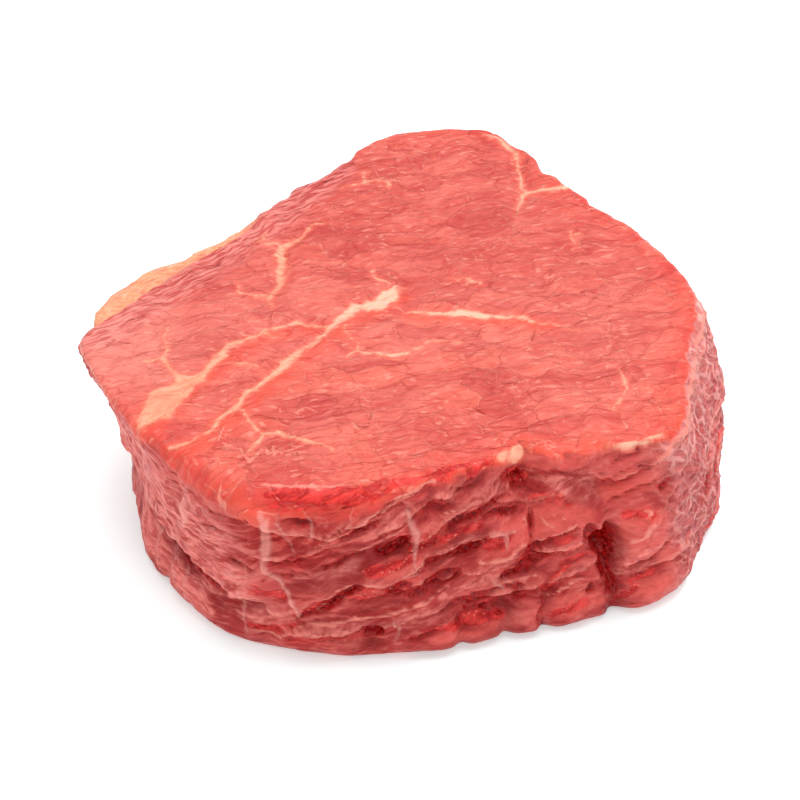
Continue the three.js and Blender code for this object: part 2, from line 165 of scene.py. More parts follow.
# Main strips of fat between the muscles, on the plan: the cut surface dips beside them
SEAM_DIP = 0.55
SEAM_REACH = 1.5
GLOW_BESIDE = [1.1, -1.5]
DIP_SEAMS = [
    [(-1, 8), (-4, 4.8), (-9.5, 1.6), (-13.2, -4), (-18, -10.5), (-23, -17), (-27.5, -23), (-30, -26.5),
     (-34.6, -29)],
    [(-13, 0.2), (-18, 0), (-24, -4.3), (-28.5, -9), (-32.5, -14), (-36, -19), (-39, -24)],
    [(1, 3.3), (7, 2.7), (12.5, 2), (18, 2), (22, 0.3)],
    [(-16, 23.5), (-19.3, 20), (-19.2, 12), (-20.7, 6.5)],
    [(18.5, 49), (20.2, 41), (20.6, 35.5), (19.2, 29.3)],
]

# Patches of fat on the plan, as closed outlines
FAT_PATCHES = [
    [(-35.6, -12), (-34.2, -12.4), (-33, -12.5), (-31.2, -12), (-29.6, -11), (-29.4, -12.6),
     (-30.4, -14.6), (-31.6, -16.2), (-33.2, -18.8), (-34.4, -21.4), (-34.8, -23.4), (-37, -24.2),
     (-39.8, -25), (-40, -23), (-39.4, -20.5), (-39.2, -18), (-37.6, -16.6), (-36, -15.4), (-35, -13.8)],
    [(0, 10), (-1.6, 9.2), (-3, 8.4), (-4.2, 6.4), (-6, 5.4), (-7.8, 4.6), (-7.4, 3.4), (-4.4, 3.9),
     (-2.2, 4.4), (-0.6, 5), (-0.2, 7)],
]

# Every fat seam and vein of the cut top, on the plan: x, y, width. A thin one gets points along its middle
VEINS = [
    [(-7, 3.9, 2.4), (-9.5, 1.6, 1.6), (-11.5, -0.5, 1.1), (-13.2, -4, 0.9), (-15.5, -7, 1.2),
     (-18, -10.5, 1.6), (-20.5, -13.5, 1.3), (-23, -17, 0.9), (-24.8, -19.3, 1.1), (-27.5, -23, 0.8),
     (-29, -26, 0.8), (-31, -27, 0.7), (-34.6, -29, 1)],
    [(-11.5, -0.5, 0.5), (-13, 0.2, 0.5), (-16.3, 0.8, 0.9), (-18, 0, 0.8), (-21, -1.8, 0.9),
     (-24, -4.3, 0.8), (-26.5, -6, 1.1), (-28.5, -9, 1.4), (-29.8, -11.6, 1.6)],
    [(1, 3.3, 0.5), (4, 3.2, 0.9), (7, 2.7, 1.2), (10, 2.5, 2), (12.5, 2, 1.8), (15, 1.8, 1.2),
     (18, 2, 0.9), (20, 1.5, 1), (22, 0.3, 0.5), (25, -0.5, 0.3), (28, -2, 0.3)],
    [(-8.5, -8.5, 0.4), (-6.5, -7.5, 0.5), (-4, -7.6, 0.7), (-1.5, -8.2, 0.8), (0.8, -8.4, 0.7),
     (1.8, -7, 0.3), (3.2, -5.7, 0.3), (5, -4.8, 0.3), (8, -4.5, 0.3), (9.5, -5.2, 0.4)],
    [(-6.5, -7.5, 0.3), (-6, -5.5, 0.3), (-7.5, -4, 0.4), (-8.3, -2.5, 0.3), (-9, -0.5, 0.4)],
    [(-24.8, -20.5, 0.5), (-23.5, -23, 0.5), (-22.3, -25.5, 0.6), (-21, -27.3, 0.7), (-19, -26.7, 0.6),
     (-17.3, -27.6, 0.8), (-15, -28.7, 0.7), (-13.5, -29.5, 0.5), (-12, -30, 0.4), (-10, -31, 0.3)],
    [(-21, -27.3, 0.6), (-21.2, -28.5, 0.6), (-22.5, -31, 0.3)],
    [(-16, 23.5, 0.5), (-17.5, 22, 0.9), (-19, 20.5, 1.3), (-19.4, 18, 1.9), (-19.2, 15, 1.5),
     (-19.2, 12, 1.2), (-19.4, 9.5, 0.9), (-20.5, 7.5, 0.8), (-20.9, 6, 0.6), (-20.2, 4.6, 0.4)],
    [(-19, 20.5, 0.7), (-21.2, 20.8, 0.5), (-23.4, 21.4, 0.3)], [(-22.8, 21.2, 0.4), (-22, 23.2, 0.3)],
    [(-15.8, 23.8, 0.4), (-14, 26, 0.3), (-12.5, 27, 0.5)],
    [(-20.8, 7.5, 0.4), (-23, 7.3, 0.4), (-25.5, 8.3, 0.5), (-26.2, 8.8, 0.4), (-26, 11, 0.2)],
    [(14, 52, 0.6), (16, 51, 0.8), (18.5, 49, 1.2), (19.5, 47.5, 1), (19.9, 44, 0.7), (20.2, 40, 0.6),
     (20.5, 37, 0.7), (20.7, 35.5, 0.9), (20, 33, 0.9), (19.3, 31, 0.5), (19.2, 29.3, 0.4)],
    [(20.7, 35.5, 0.9), (23, 35.8, 1), (25.5, 35.8, 1.1), (27.5, 36.3, 1.4), (28, 37, 1)],
    [(28, 24, 0.3), (28, 22.5, 0.5), (28.3, 20.5, 0.4)], [(28, 22.5, 0.3), (29.5, 23.5, 0.3)],
    [(-6, 41, 0.4), (-5.8, 39, 0.6), (-5.5, 38, 0.5), (-7, 37.5, 0.3), (-9.5, 36.5, 0.2)],
    [(-5.5, 38.3, 0.4), (-4, 38.4, 0.5), (-2.5, 38.2, 0.6), (-2, 37.3, 0.4)],
    [(-5, 13.5, 0.3), (-3.8, 12.2, 0.5), (-2.5, 11, 0.6), (-1.5, 10.2, 0.4)],
    [(34, -12, 0.3), (34.5, -14.5, 0.4), (34.3, -17, 0.4), (33.5, -19.5, 0.4), (32.3, -21, 0.3)],
    [(-37, -1.2, 0.8), (-36.8, -3.5, 0.4), (-36.5, -5.5, 0.5), (-36.2, -7, 0.6), (-37.3, -9, 0.8),
     (-40, -10, 0.3)],
    [(-36.8, -9, 0.6), (-36, -11, 0.4), (-35.5, -12.5, 0.7)],
    [(-27, -10.3, 0.3), (-25, -10.5, 0.5), (-23, -11.2, 0.5), (-22.2, -11.8, 0.3)],
    [(-21.5, -2.5, 0.5), (-20, -3.8, 0.3)],
    [(8, 11.5, 0.2), (9.5, 11, 0.5), (11, 10.3, 0.4), (13, 9.8, 0.4)],
]
THIN_VEIN = 1.7

# Thin pale threads and torn flakes of the cut top, some of them painted glints, on the plan: x, y, height
THREADS_AND_GLINTS = [
    [(-26.6, -24.9, 0.2), (-27, -26.6, 0.5), (-27.4, -28.6, 0.4)],
    [(-25.8, -26.4, 0.4), (-26.5, -28.2, 0.4)], [(-27.5, -30.2, 0.3), (-26, -31, 0.5), (-24.7, -31.5, 0.2)],
    [(-24.2, -29.6, 0.2), (-23.8, -31.2, 0.5)],
    [(-23.6, -31.6, 0.4), (-22.5, -33.4, 0.7), (-21.1, -31.9, 0.5), (-20.7, -30.8, 0.2)],
    [(-20.2, -30.2, 0.2), (-19.8, -31.9, 0.6)], [(-19.2, -30, 0.3), (-18.8, -32.2, 0.6)],
    [(-18.2, -30.2, 0.2), (-17.8, -31.9, 0.5)], [(-17.3, -31.4, 0.4), (-14.3, -30.3, 0.3)],
    [(-17, -32.3, 0.4), (-14.2, -31.5, 0.3)], [(-28.3, -34.4, 0.3), (-25.4, -33.4, 0.4)],
    [(-29.6, -35.5, 0.2), (-27, -34.6, 0.4)], [(-26.6, -36.9, 0.2), (-27, -38.9, 0.5), (-26.1, -40.2, 0.4)],
    [(-31.4, -31.5, 0.2), (-30.4, -33.6, 0.4)], [(-33, -30.4, 0.2), (-31.8, -33, 0.3)],
    [(-18.6, -20.4, 0.2), (-18.2, -22.6, 0.4)], [(-17.6, -16, 0.2), (-16.4, -18, 0.4)],
    [(-14.5, -21.2, 0.3), (-13.1, -22.4, 0.4)],
    [(-7.2, -25.4, 0.3), (-6.2, -26.9, 0.4), (-4.9, -26.2, 0.2)], [(-2.7, -21, 0.2), (-2.3, -22.6, 0.3)],
    [(-1.6, -32, 0.2), (0.2, -32.5, 0.4), (2.8, -32.2, 0.2)],
    [(6.4, -30.2, 0.2), (8.2, -29.7, 0.4), (10.6, -30, 0.2)], [(14.6, -20.5, 0.2), (18.2, -20.7, 0.3)],
    [(18, -15.4, 0.3), (20, -15.1, 0.3)], [(21.6, -13.4, 0.3), (23.2, -14.3, 0.2)],
    [(11.2, -8.8, 0.2), (13, -8.4, 0.3), (17.1, -8.5, 0.2)], [(7.2, -9.4, 0.2), (9.4, -9.7, 0.3)],
    [(-33.4, 4, 0.2), (-31, 4.6, 0.3), (-28.2, 4.2, 0.2)], [(25, 8, 0.2), (27.2, 7.9, 0.3)],
    [(25.6, 4.2, 0.2), (27, 3.6, 0.4), (27.7, 4.4, 0.2)], [(24.4, -20.6, 0.2), (24.9, -24, 0.3)],
    [(33.4, -21, 0.2), (34.5, -25.4, 0.4)], [(38.8, -18.4, 0.2), (39.8, -21, 0.3)],
    [(29, -25.6, 0.2), (30, -27.8, 0.3)], [(37.2, -22.6, 0.2), (38.4, -25.2, 0.3)],
    [(26.4, -20.9, 0.2), (28.6, -22.2, 0.3)], [(25, 26.1, 0.2), (29.4, 26, 0.3)],
    [(19.4, 23.3, 0.2), (22.8, 23.2, 0.3)], [(31, 19.8, 0.2), (33.6, 19, 0.4)],
    [(20.4, 17.6, 0.2), (22.6, 17.3, 0.4)], [(16.8, 14.6, 0.2), (17.4, 13.2, 0.3)],
    [(7.4, 17.6, 0.3), (7.6, 16, 0.4), (8.4, 16.6, 0.2)], [(3.2, 14, 0.3), (4.2, 13.6, 0.4)],
    [(6, 8.2, 0.3), (6.4, 7.2, 0.3)], [(10, 18.4, 0.2), (11.8, 19.2, 0.3)],
    [(20.6, 9.8, 0.3), (21.6, 8.9, 0.2)], [(1.8, 22.6, 0.2), (3.8, 22.4, 0.3), (4.4, 23.6, 0.2)],
    [(1.2, 20.6, 0.2), (2.2, 20.8, 0.3)], [(6.6, 40.2, 0.2), (8, 40.5, 0.3)],
    [(11.4, 44.2, 0.3), (13.6, 45, 0.3)], [(10.8, 38.6, 0.2), (11, 37.4, 0.3)],
    [(-22.6, 3, 0.2), (-23.6, 0.4, 0.3)], [(-22.2, 15.4, 0.2), (-19.8, 14.8, 0.3)],
    [(-42, -5, 0.2), (-38.6, -5.2, 0.3), (-32, -5.4, 0.2)], [(-31.6, -5.8, 0.2), (-29.4, -7.4, 0.3)],
    [(-45.6, -7.2, 0.2), (-43, -6, 0.3), (-40.4, -7.6, 0.2)],
]

# Dark tears and cracks of the cut top, and a cut vessel, on the plan: x, y, width
TEARS = [
    [(-13, 27, 0.2), (-10, 27.8, 0.3), (-7, 29, 0.25)], [(-5, 30.2, 0.2), (-1, 30.4, 0.3), (2, 31.2, 0.2)],
    [(6.4, 32.4, 0.2), (10.4, 34.6, 0.3)], [(5.4, 40, 0.2), (7.6, 41, 0.3), (11.4, 41.3, 0.2)],
    [(11, -20.8, 0.2), (12, -21.8, 0.4), (12.9, -22.8, 0.3)], [(12.8, -1, 0.2), (12.2, -3.6, 0.3)],
    [(21.3, -1.6, 0.2), (20.7, -4.8, 0.3)], [(14.9, 9.9, 0.2), (14, 8.6, 0.3)],
    [(-12.6, -13.8, 0.2), (-12, -16.6, 0.3)], [(-8.4, -9, 0.2), (-9.6, -8.8, 0.2)],
    [(7.2, -9.9, 0.2), (10.6, -9.9, 0.25)], [(-6, 25.2, 0.2), (-9.6, 24.4, 0.2)],
    [(34.2, 5, 0.2), (39, 5.4, 0.25)], [(35.4, 14.2, 0.2), (38.6, 13.2, 0.25)],
    [(17.2, -28, 0.2), (19.2, -30.6, 0.4)], [(16.6, -28.6, 0.2), (18.2, -30.6, 0.2)],
    [(15.6, -15.5, 0.3), (19.6, -15.7, 0.2)], [(-26.5, -14, 0.2), (-24.6, -14, 0.3)],
    [(-14, 4, 0.15), (-15.2, 7, 0.2)], [(-4, -21.4, 0.2), (-4.8, -25.4, 0.3)],
    [(2, 17, 0.2), (-4.6, 17.2, 0.2)], [(-9.4, 15, 0.2), (-14.4, 14.4, 0.3)],
    [(0.4, -17, 0.2), (3.6, -15.4, 0.2)], [(-38.4, 9.6, 0.2), (-34, 14.2, 0.3)],
    [(-34, 12.6, 0.2), (-29, 16.4, 0.3)], [(-43.6, 0.6, 0.3), (-40.6, 2.2, 0.3)],
    [(-45.6, -4.4, 0.2), (-41.6, -4.6, 0.3)], [(27.2, -26, 0.2), (26.8, -29, 0.3)],
    [(36, -30.6, 0.3), (37.6, -32, 0.3)], [(15.4, 26.6, 0.2), (12.4, 27.4, 0.2)],
    [(10.6, 29.4, 0.2), (11.2, 31.4, 0.2)], [(0.6, 41.6, 0.2), (5, 38.2, 0.2)],
]
VESSEL = (-18.5, 18.7, 0.6)

# Where the fat is more amber than pale, on the plan: x, y, how much, radius
AMBER = [
    (-35, -17, 1, 10), (17.4, -31.6, 0.7, 5.5), (-19, 16, 0.85, 9), (19, 42, 0.5, 9),
]

# Band of fine pleats along the back left edge of the cut top, on the plan: x, y, half width
PLEAT_BAND = [
    (-48.5, -2.5, 6), (-42, 6, 6.5), (-32, 17, 6.5), (-21, 29, 5.5), (-11, 41, 4),
]

# Fibre bundles of the cut top: spacing, seed, turn, stretch, height. They fill a box of this half width
BUNDLES = [(3.9, 31, 13, 1.9, 0.6), (2.1, 32, 24, 1.7, 0.55)]
TOP_BOX = 60

# Pale strands of connective tissue on the wall: angle, height, width
STRANDS = [
    [(245.8, 29.6, 0.5), (246, 27.6, 1.5), (246.4, 25.4, 1.8), (246.2, 22.5, 1.2), (246.4, 19.4, 0.9),
     (248.3, 17, 0.7), (250, 14, 0.7), (251.5, 10.8, 0.9), (252, 9.4, 0.4)],
    [(246.8, 28.6, 0.3), (248.2, 26.8, 0.4), (249.6, 24.6, 0.3), (250.8, 21.8, 0.2)],
    [(270, 27.5, 0.5), (271, 25, 1), (271.8, 23, 1.2), (271.6, 20.5, 0.8), (271.4, 18, 0.5),
     (272.2, 16.6, 0.3)],
    [(287, 19.9, 0.7), (289.4, 19.6, 0.8), (291.8, 19.2, 0.5)], [(290.2, 19.3, 0.7), (290.3, 17.2, 0.5)],
    [(268.2, 8.8, 0.4), (268.6, 7, 0.6), (268.4, 4.8, 0.3)],
    [(286.8, 11.8, 0.7), (288, 10.4, 0.8), (288.8, 9.2, 0.3)],
    [(219.6, 12, 0.5), (218.4, 8, 0.5), (219, 4, 0.5), (221, 1.6, 0.4)],
    [(226.8, 11, 0.5), (225.2, 8, 0.6), (225.6, 4.6, 0.5), (228.4, 2.6, 0.5)],
    [(212.6, 12, 0.3), (212, 8, 0.4), (212.8, 4.4, 0.3)],
    [(230, 10.5, 0.3), (229, 7, 0.3), (228.6, 3, 0.3)],
    [(241.8, 13, 0.3), (242.2, 8, 0.4), (242.4, 3.5, 0.3)],
    [(240.2, 15.4, 0.3), (243, 16.4, 0.3), (245.6, 17.6, 0.3)],
    [(241.6, 19, 0.3), (243.4, 17.4, 0.3), (242.6, 14.6, 0.3)],
    [(229.6, 23.6, 1.2), (229.8, 21, 1.5), (229.6, 19, 0.5)], [(252.8, 28.4, 0.2), (253.4, 24.6, 0.3)],
]

# Marks of the front wall, as strokes that lie where the photograph shows them: angle, height, width.
# Dark red grooves between the layers, where shade is painted over the deep red of the wet flesh
GROOVES = [
    [(255.4, 19.4, 0.5), (258.6, 20.6, 0.9), (262, 21.6, 0.6)],
    [(246.3, 31.4, 0.4), (250, 31.2, 0.5), (256, 31, 0.4)],
    [(248.6, 27.4, 0.8), (251, 27.4, 1.3), (253.2, 26.8, 0.8)],
    [(247.7, 20.1, 0.4), (250, 20.9, 0.7), (252.7, 21.9, 0.4)],
    [(258.5, 24.4, 0.5), (261.5, 25.6, 0.8), (264.5, 26.9, 0.4)],
    [(264.6, 21.9, 0.6), (266.4, 21.8, 2), (268.6, 22.6, 2.2), (270.2, 23, 0.8)],
    [(252, 9.6, 0.6), (255, 11.2, 1), (258, 13, 1.5), (260, 14.4, 2.1), (262, 15.4, 1.1), (263, 15.8, 0.4)],
    [(266.8, 14.4, 0.7), (268.6, 14.7, 1.2), (271, 15.1, 0.8)], [(271.3, 13, 0.7), (273.3, 13.4, 0.9)],
    [(274, 17.6, 0.8), (277, 18.2, 1.2), (280, 18.8, 1.6), (283, 19.2, 1.3), (285.5, 19.6, 0.7)],
    [(273.8, 14.2, 0.6), (276.5, 14.5, 1.3), (279.6, 14.8, 1)],
    [(276.7, 22.9, 0.6), (280, 24.2, 1), (284, 24.8, 1.2), (288, 25.4, 0.8), (291.6, 25.5, 0.5)],
    [(286, 23.4, 0.8), (289, 23.2, 1.5), (292.2, 22.9, 1.2)], [(263.2, 6.5, 1.4), (265.2, 6.8, 1.6)],
    [(276.8, 8.9, 0.6), (281, 9.1, 1), (285, 9.8, 1), (289, 10.2, 0.8), (292, 9.8, 0.8)],
    [(281.5, 7.8, 1.2), (285, 7.9, 1)], [(271.3, 4.6, 0.8), (275.2, 4.9, 1)],
    [(291, 8.2, 0.9), (293.4, 8.6, 0.7)],
    [(288.4, 12.2, 0.9), (291, 12.9, 1.8), (293.4, 13.9, 2), (295.4, 14.6, 1)],
    [(294.8, 15.6, 0.8), (297, 15.4, 1.3), (300, 15.8, 1.2), (302.4, 16.6, 0.8), (304.2, 17.6, 0.4)],
    [(291.4, 28.4, 0.6), (293, 28.4, 1), (294.6, 27.8, 0.7)], [(292.6, 27, 0.8), (295.4, 26.4, 1)],
    [(279.6, 30, 0.4), (281.4, 30.2, 0.7), (283, 29.6, 0.4)],
    [(311.6, 28, 0.3), (314, 28.8, 0.4), (316, 29.4, 0.3)],
    [(295.8, 21.6, 0.3), (295.9, 19.6, 0.7), (295.6, 17.6, 0.6)],
    [(295.8, 8, 0.3), (295.6, 5, 0.4), (295.6, 2, 0.5)],
    [(306.2, 18.2, 0.8), (306.4, 17.2, 1.6), (306.6, 15.4, 2), (306.9, 13, 1.2)],
    [(306.9, 12.4, 0.9), (307.2, 9, 0.8), (307.8, 5.4, 0.5), (308.2, 2.4, 0.6)],
    [(305, 8, 0.6), (304.6, 6.4, 0.9)], [(318.4, 22.6, 0.7), (319.6, 23, 0.7)],
    [(214.5, 13.2, 1), (220, 13.8, 1.4), (225, 12.9, 1.4), (230, 12.8, 2.2), (233, 12.6, 1.6),
     (236.5, 11.4, 1.2), (238.6, 10.8, 0.8)],
    [(239.8, 17.8, 0.6), (242.4, 18.2, 0.8), (244.6, 18, 0.6)],
    [(234.8, 26, 0.3), (238, 26.4, 0.4), (243, 27.4, 0.4)],
    [(235, 22.4, 0.3), (239, 22.8, 0.3), (243.6, 23.4, 0.3)], [(249, 17.6, 0.3), (253, 18, 0.3)],
    [(253.5, 29, 0.3), (258, 29.6, 0.4), (263, 30.4, 0.3)],
    [(270, 27.6, 0.3), (274, 28.4, 0.5), (278, 28.4, 0.3)],
    [(298, 28.8, 0.3), (302, 28.2, 0.4), (305, 27.4, 0.3)],
    [(309, 25, 0.4), (313, 25.8, 0.4), (316.4, 27, 0.3)],
    [(309.6, 22.4, 0.3), (314, 22.8, 0.4), (317.6, 24.2, 0.3)],
    [(311, 10.4, 0.4), (315, 10.8, 0.6), (318, 12.2, 0.4)],
]

# Wet bright red flesh
WETS = [
    [(251, 10.2, 1), (253.4, 11, 1.8), (256.4, 11.8, 1.6)],
    [(261, 13.6, 2.2), (264, 14, 2.6), (266.2, 14.4, 2.2)], [(266, 14.2, 1.6), (270.6, 14.6, 1.4)],
    [(264, 18.4, 1.6), (268, 18.8, 2.4), (271.4, 19.2, 1.8)],
    [(271.6, 21.4, 2.6), (274.6, 21.6, 2), (277, 22.2, 1.2)],
    [(276.8, 21.6, 1.4), (281, 22.3, 1.8), (285, 22.4, 1.4)], [(286, 18.6, 2.6), (290.2, 18.8, 2.4)],
    [(280, 6.4, 2.2), (284, 6, 2.8), (287.8, 5.6, 2.2)], [(275.2, 5.4, 1.6), (279, 5.6, 1.6)],
    [(296.4, 9.9, 1.4), (300.6, 11.2, 1.6)], [(300, 12.2, 1.4), (304.6, 13.4, 1.6)],
    [(300, 15, 1.2), (303.6, 16, 1.2)], [(296.8, 23.8, 1.4), (299.4, 23.6, 1.2)],
    [(301.2, 23.4, 1.2), (303.6, 22.4, 1.2)], [(291, 28.6, 2.4), (294.8, 27.6, 2.6)],
    [(311.8, 19.4, 1.8), (314.8, 18.6, 1.8)], [(315.6, 18.8, 1.6), (316.6, 17.6, 1.4)],
    [(318.4, 23.2, 1.4), (319.8, 23.4, 1.4)], [(311, 7.6, 1), (313.4, 8, 1.2), (315.4, 8.2, 1.2)],
    [(308.8, 5.2, 2), (312, 5.6, 1.6)], [(298, 4.2, 1.6), (303, 4.6, 1.8)],
    [(247, 32.9, 2), (250, 32.9, 3), (256, 33, 3.2), (262, 32.8, 2.6), (266.4, 33.2, 1.4)],
    [(247.6, 30.4, 1.2), (254, 30.4, 1.6), (262, 31, 1.6), (268, 32, 1.4)],
    [(283, 31.8, 1.6), (289, 32, 1.6)], [(244.6, 13.6, 2.2), (248.6, 13.2, 2)],
    [(243.6, 5.6, 2), (248, 6.2, 1.6), (251, 7.6, 1.2)], [(258.6, 25, 1.2), (264.6, 26.8, 1.2)],
    [(267.6, 32.4, 1.6), (270, 32.6, 1.8)], [(270, 33.4, 2), (276, 33.4, 2.2), (282, 33, 1.8)],
]

# Smooth blocks of bright flesh
FRESH = [
    [(285.6, 17.4, 2.2), (289, 18.2, 4.4), (293.6, 19, 4.2)],
    [(296.6, 19.4, 4.6), (300, 19.4, 6.4), (304.6, 19.6, 4)],
    [(310, 17, 3.4), (313.6, 17, 6.6), (316.6, 15.8, 5)],
    [(309.6, 12.6, 3), (314, 12.4, 4), (317.4, 12.6, 3)], [(296.4, 5, 3), (301, 5, 4), (304.6, 4.8, 3)],
    [(308.8, 5.2, 2.6), (313, 5.4, 3.2), (318, 5.2, 2.4)], [(271.4, 21.4, 3), (275.6, 22.4, 2.6)],
    [(310, 24, 3), (314, 24.4, 4), (317, 25, 2.4)], [(296.4, 30.4, 2.6), (302, 30.6, 3.4), (308, 31, 2.6)],
    [(247, 5.6, 2.2), (250, 6.4, 1.6)], [(262.4, 13.6, 2.6), (265.6, 13.8, 3)],
    [(276, 3.4, 1.4), (286, 3.4, 1.6)], [(268, 18.6, 3), (272, 19, 2.2)],
    [(208, 9.6, 4), (216, 8.6, 6), (224, 7, 7), (232, 5.6, 5)], [(318, 9.6, 3), (324, 8, 2)],
]

# Broad hollows in shade
SHADES = [
    [(277, 1.6, 1.6), (284, 2.2, 2.6), (291, 2, 1.8)],
    [(251, 15.4, 2), (256, 17, 4.4), (261, 18.4, 4.4), (264, 19.4, 2)],
    [(276, 26.4, 2), (283, 28.2, 3.4), (289, 27.6, 2.6)],
    [(254, 6.6, 2), (262, 7, 2.6), (270, 7.8, 2.4), (277, 9, 2)],
    [(206, 14.6, 2.4), (214, 13, 3.6), (222, 11.4, 4.4), (231, 10.6, 3.4)],
    [(262, 12.4, 2), (270, 13.4, 2.6), (278, 14.2, 2)], [(304, 26.6, 3), (306.4, 23.4, 3)],
    [(270, 20.6, 2), (279, 21, 3), (286, 20.6, 2.4)],
]

# Thin greyish film over the flesh
FILMS = [
    [(252, 17.4, 1.6), (256, 18.6, 2.2), (261, 19.6, 2)],
    [(262.6, 25.2, 1.6), (266, 26.4, 3), (270.4, 27.6, 3)],
    [(252.4, 6.2, 1.6), (256, 7.4, 2.6), (261, 7.6, 2.4)], [(270, 8.2, 2.8), (273, 8.8, 4), (277, 9, 1.8)],
    [(276.6, 11.6, 2), (282, 12.4, 2.8), (286, 12.2, 3.2), (288.6, 11, 1.6)],
    [(280.6, 26.6, 1.6), (286, 27.8, 3.2), (291, 27.4, 3)],
    [(300.6, 26.6, 2.4), (304, 25.6, 5), (306.4, 23, 3)],
    [(309.6, 11.4, 2.2), (313, 11.6, 2.6), (317, 12.2, 1.8)],
    [(243, 7.6, 3), (248, 8.6, 2.6), (250.6, 9.2, 1.2)], [(232, 9.5, 3), (238, 11.5, 4), (243, 12.5, 2)],
    [(240, 15.4, 3), (236, 17, 6.6), (228, 19.4, 9.4), (220, 20, 11), (208, 22, 14)],
    [(190, 20, 18), (208, 20, 18)], [(206, 9, 6), (222, 7.4, 8), (233, 6, 5)],
    [(276, 29.6, 1.6), (280, 28.6, 2.2)],
]

# Thin pale edges of the layers, partly painted highlight where they catch the light
CRESTS = [
    [(245.6, 34.5, 0.5), (250, 34.7, 0.7), (256, 34.7, 0.7), (262, 34.5, 0.5)],
    [(250.8, 30.4, 0.3), (252.4, 31, 0.6), (254, 31.2, 0.3)],
    [(254.7, 23.2, 0.3), (258.6, 25.4, 0.5), (263.4, 27.6, 0.5), (267.4, 29.4, 0.6), (271, 30.6, 0.5),
     (275.4, 31.6, 0.4)],
    [(258.7, 20.6, 0.3), (263.6, 22.8, 0.4), (267, 24.4, 0.4), (270.4, 25.6, 0.3)],
    [(255.5, 13.2, 0.4), (258, 15.2, 0.5), (262.6, 16.2, 0.5), (265.4, 15.9, 0.5), (271, 16.7, 0.5),
     (274, 18.2, 0.4)],
    [(251.3, 7.2, 0.4), (254.6, 8.4, 0.6), (258, 8.9, 0.6), (263.4, 9.4, 0.5), (268, 10.2, 0.5),
     (272, 11.2, 0.5), (275.4, 12.6, 0.4), (279.6, 13, 0.4)],
    [(275.4, 19.6, 0.3), (279, 20.2, 0.4), (285, 20.6, 0.4)],
    [(213.4, 14.8, 0.4), (220, 14.8, 0.5), (227, 13.9, 0.4), (234.6, 13.4, 0.5)],
    [(236.4, 11.6, 0.5), (239.4, 12, 0.7), (241.6, 13.6, 0.4)], [(224, 16.6, 0.6), (232, 17, 0.5)],
    [(284.6, 15.8, 0.5), (290, 15.6, 0.6), (294, 16.8, 0.5)],
    [(297.2, 16.4, 0.4), (300.6, 16.6, 0.5), (303.6, 18.4, 0.4)],
    [(286.8, 11.2, 0.4), (290.6, 11, 0.6), (294.4, 12, 0.4)],
    [(296.6, 8.6, 0.5), (301, 8.8, 0.6), (304, 9.8, 0.4)],
    [(317, 27.6, 0.3), (320.6, 28.8, 0.7), (325, 30, 0.9), (331, 30.4, 0.8), (338, 30.2, 0.9),
     (346, 30.2, 0.7), (354, 30, 0.8), (361, 30, 0.5)],
    [(324, 28.4, 0.3), (330, 28.9, 0.5), (339, 28.6, 0.5), (350, 28.8, 0.3)],
    [(243, 4.4, 0.3), (248, 4.8, 0.5), (251.3, 6.4, 0.4)],
    [(276, 25.6, 0.3), (280, 26.4, 0.5), (284.6, 27, 0.4)],
    [(310, 15.4, 0.3), (313.6, 15.2, 0.5), (316.6, 16.4, 0.4)],
    [(297.8, 20.6, 0.2), (298.2, 19.4, 0.4), (299.4, 18.8, 0.3)], [(300.2, 20.6, 0.2), (301.6, 19.4, 0.4)],
    [(293.6, 20.8, 0.3), (294.6, 20.4, 0.5), (294.4, 19.2, 0.3)],
    [(315.2, 19.2, 0.4), (316.4, 18.6, 0.5), (316.2, 17.4, 0.3)],
]
STROKE_MARGIN = 6

# Strokes for the sides that the photograph hides: how many, least and greatest length, greatest width
HIDDEN_STROKES = {
    "groove": (46, 4, 12, 1.5), "wet": (22, 4, 10, 2.4), "film": (20, 8, 18, 5.0), "crest": (44, 5, 14, 0.7),
}
HIDDEN_ANGLES = (330, 545)

# Strength of the saturated glow along the cut edge, and how far the cut face's look reaches down the wall
EDGE_LOOK = np.array([
    [0, 0.9, 0.8], [30, 0.8, 0.8], [60, 0.7, 0.8], [85, 0.5, 0.8], [108, 0.2, 0.5], [140, 0, 0.4],
    [175, 0.1, 0.4], [192, 0, 0.8], [208, 0.3, 1.4], [226, 0.9, 3], [238, 0.9, 4.6], [252, 0.9, 4.2],
    [266, 1, 3], [280, 1, 1.2], [300, 0.9, 1], [318, 0.9, 0.8], [340, 0.8, 0.6],
])

# What a mark is where nothing is marked: how far inside it a place is, so far outside
OUTSIDE = -3.0
NO_NET = 3.0
UNMARKED = {**dict.fromkeys(("fat", "strand", "pale", "cut_in", "raw"), OUTSIDE), "net": NO_NET}

# Mesh: cells across the cut top, points round the rim, rows of points, and the rings of the underside
GRID = 192
RING = 4 * GRID
ROLL_ROWS = 8
EDGE_ROWS = 8
WALL_ROWS = 62
FOOT_ROWS = 5
RELAX_STEPS = 200
TOP_GAP = 0.4
UNDER_RINGS = (0.985, 0.95)
UNDER_SHRINK = 0.97
LINE_SNAP = 0.27
CRAG_MIDDLE = 272.0
CRAG_SPREAD = 64.0
CRAG_EXTRA = 0.5

# Noise: points a side of its lattice, a place well inside it, its gain, and how steep its ridges are
LATTICE = 32
LATTICE_MIDDLE = 500.5
NOISE_GAIN = 1.4
RIDGE_STEEPNESS = 2.2

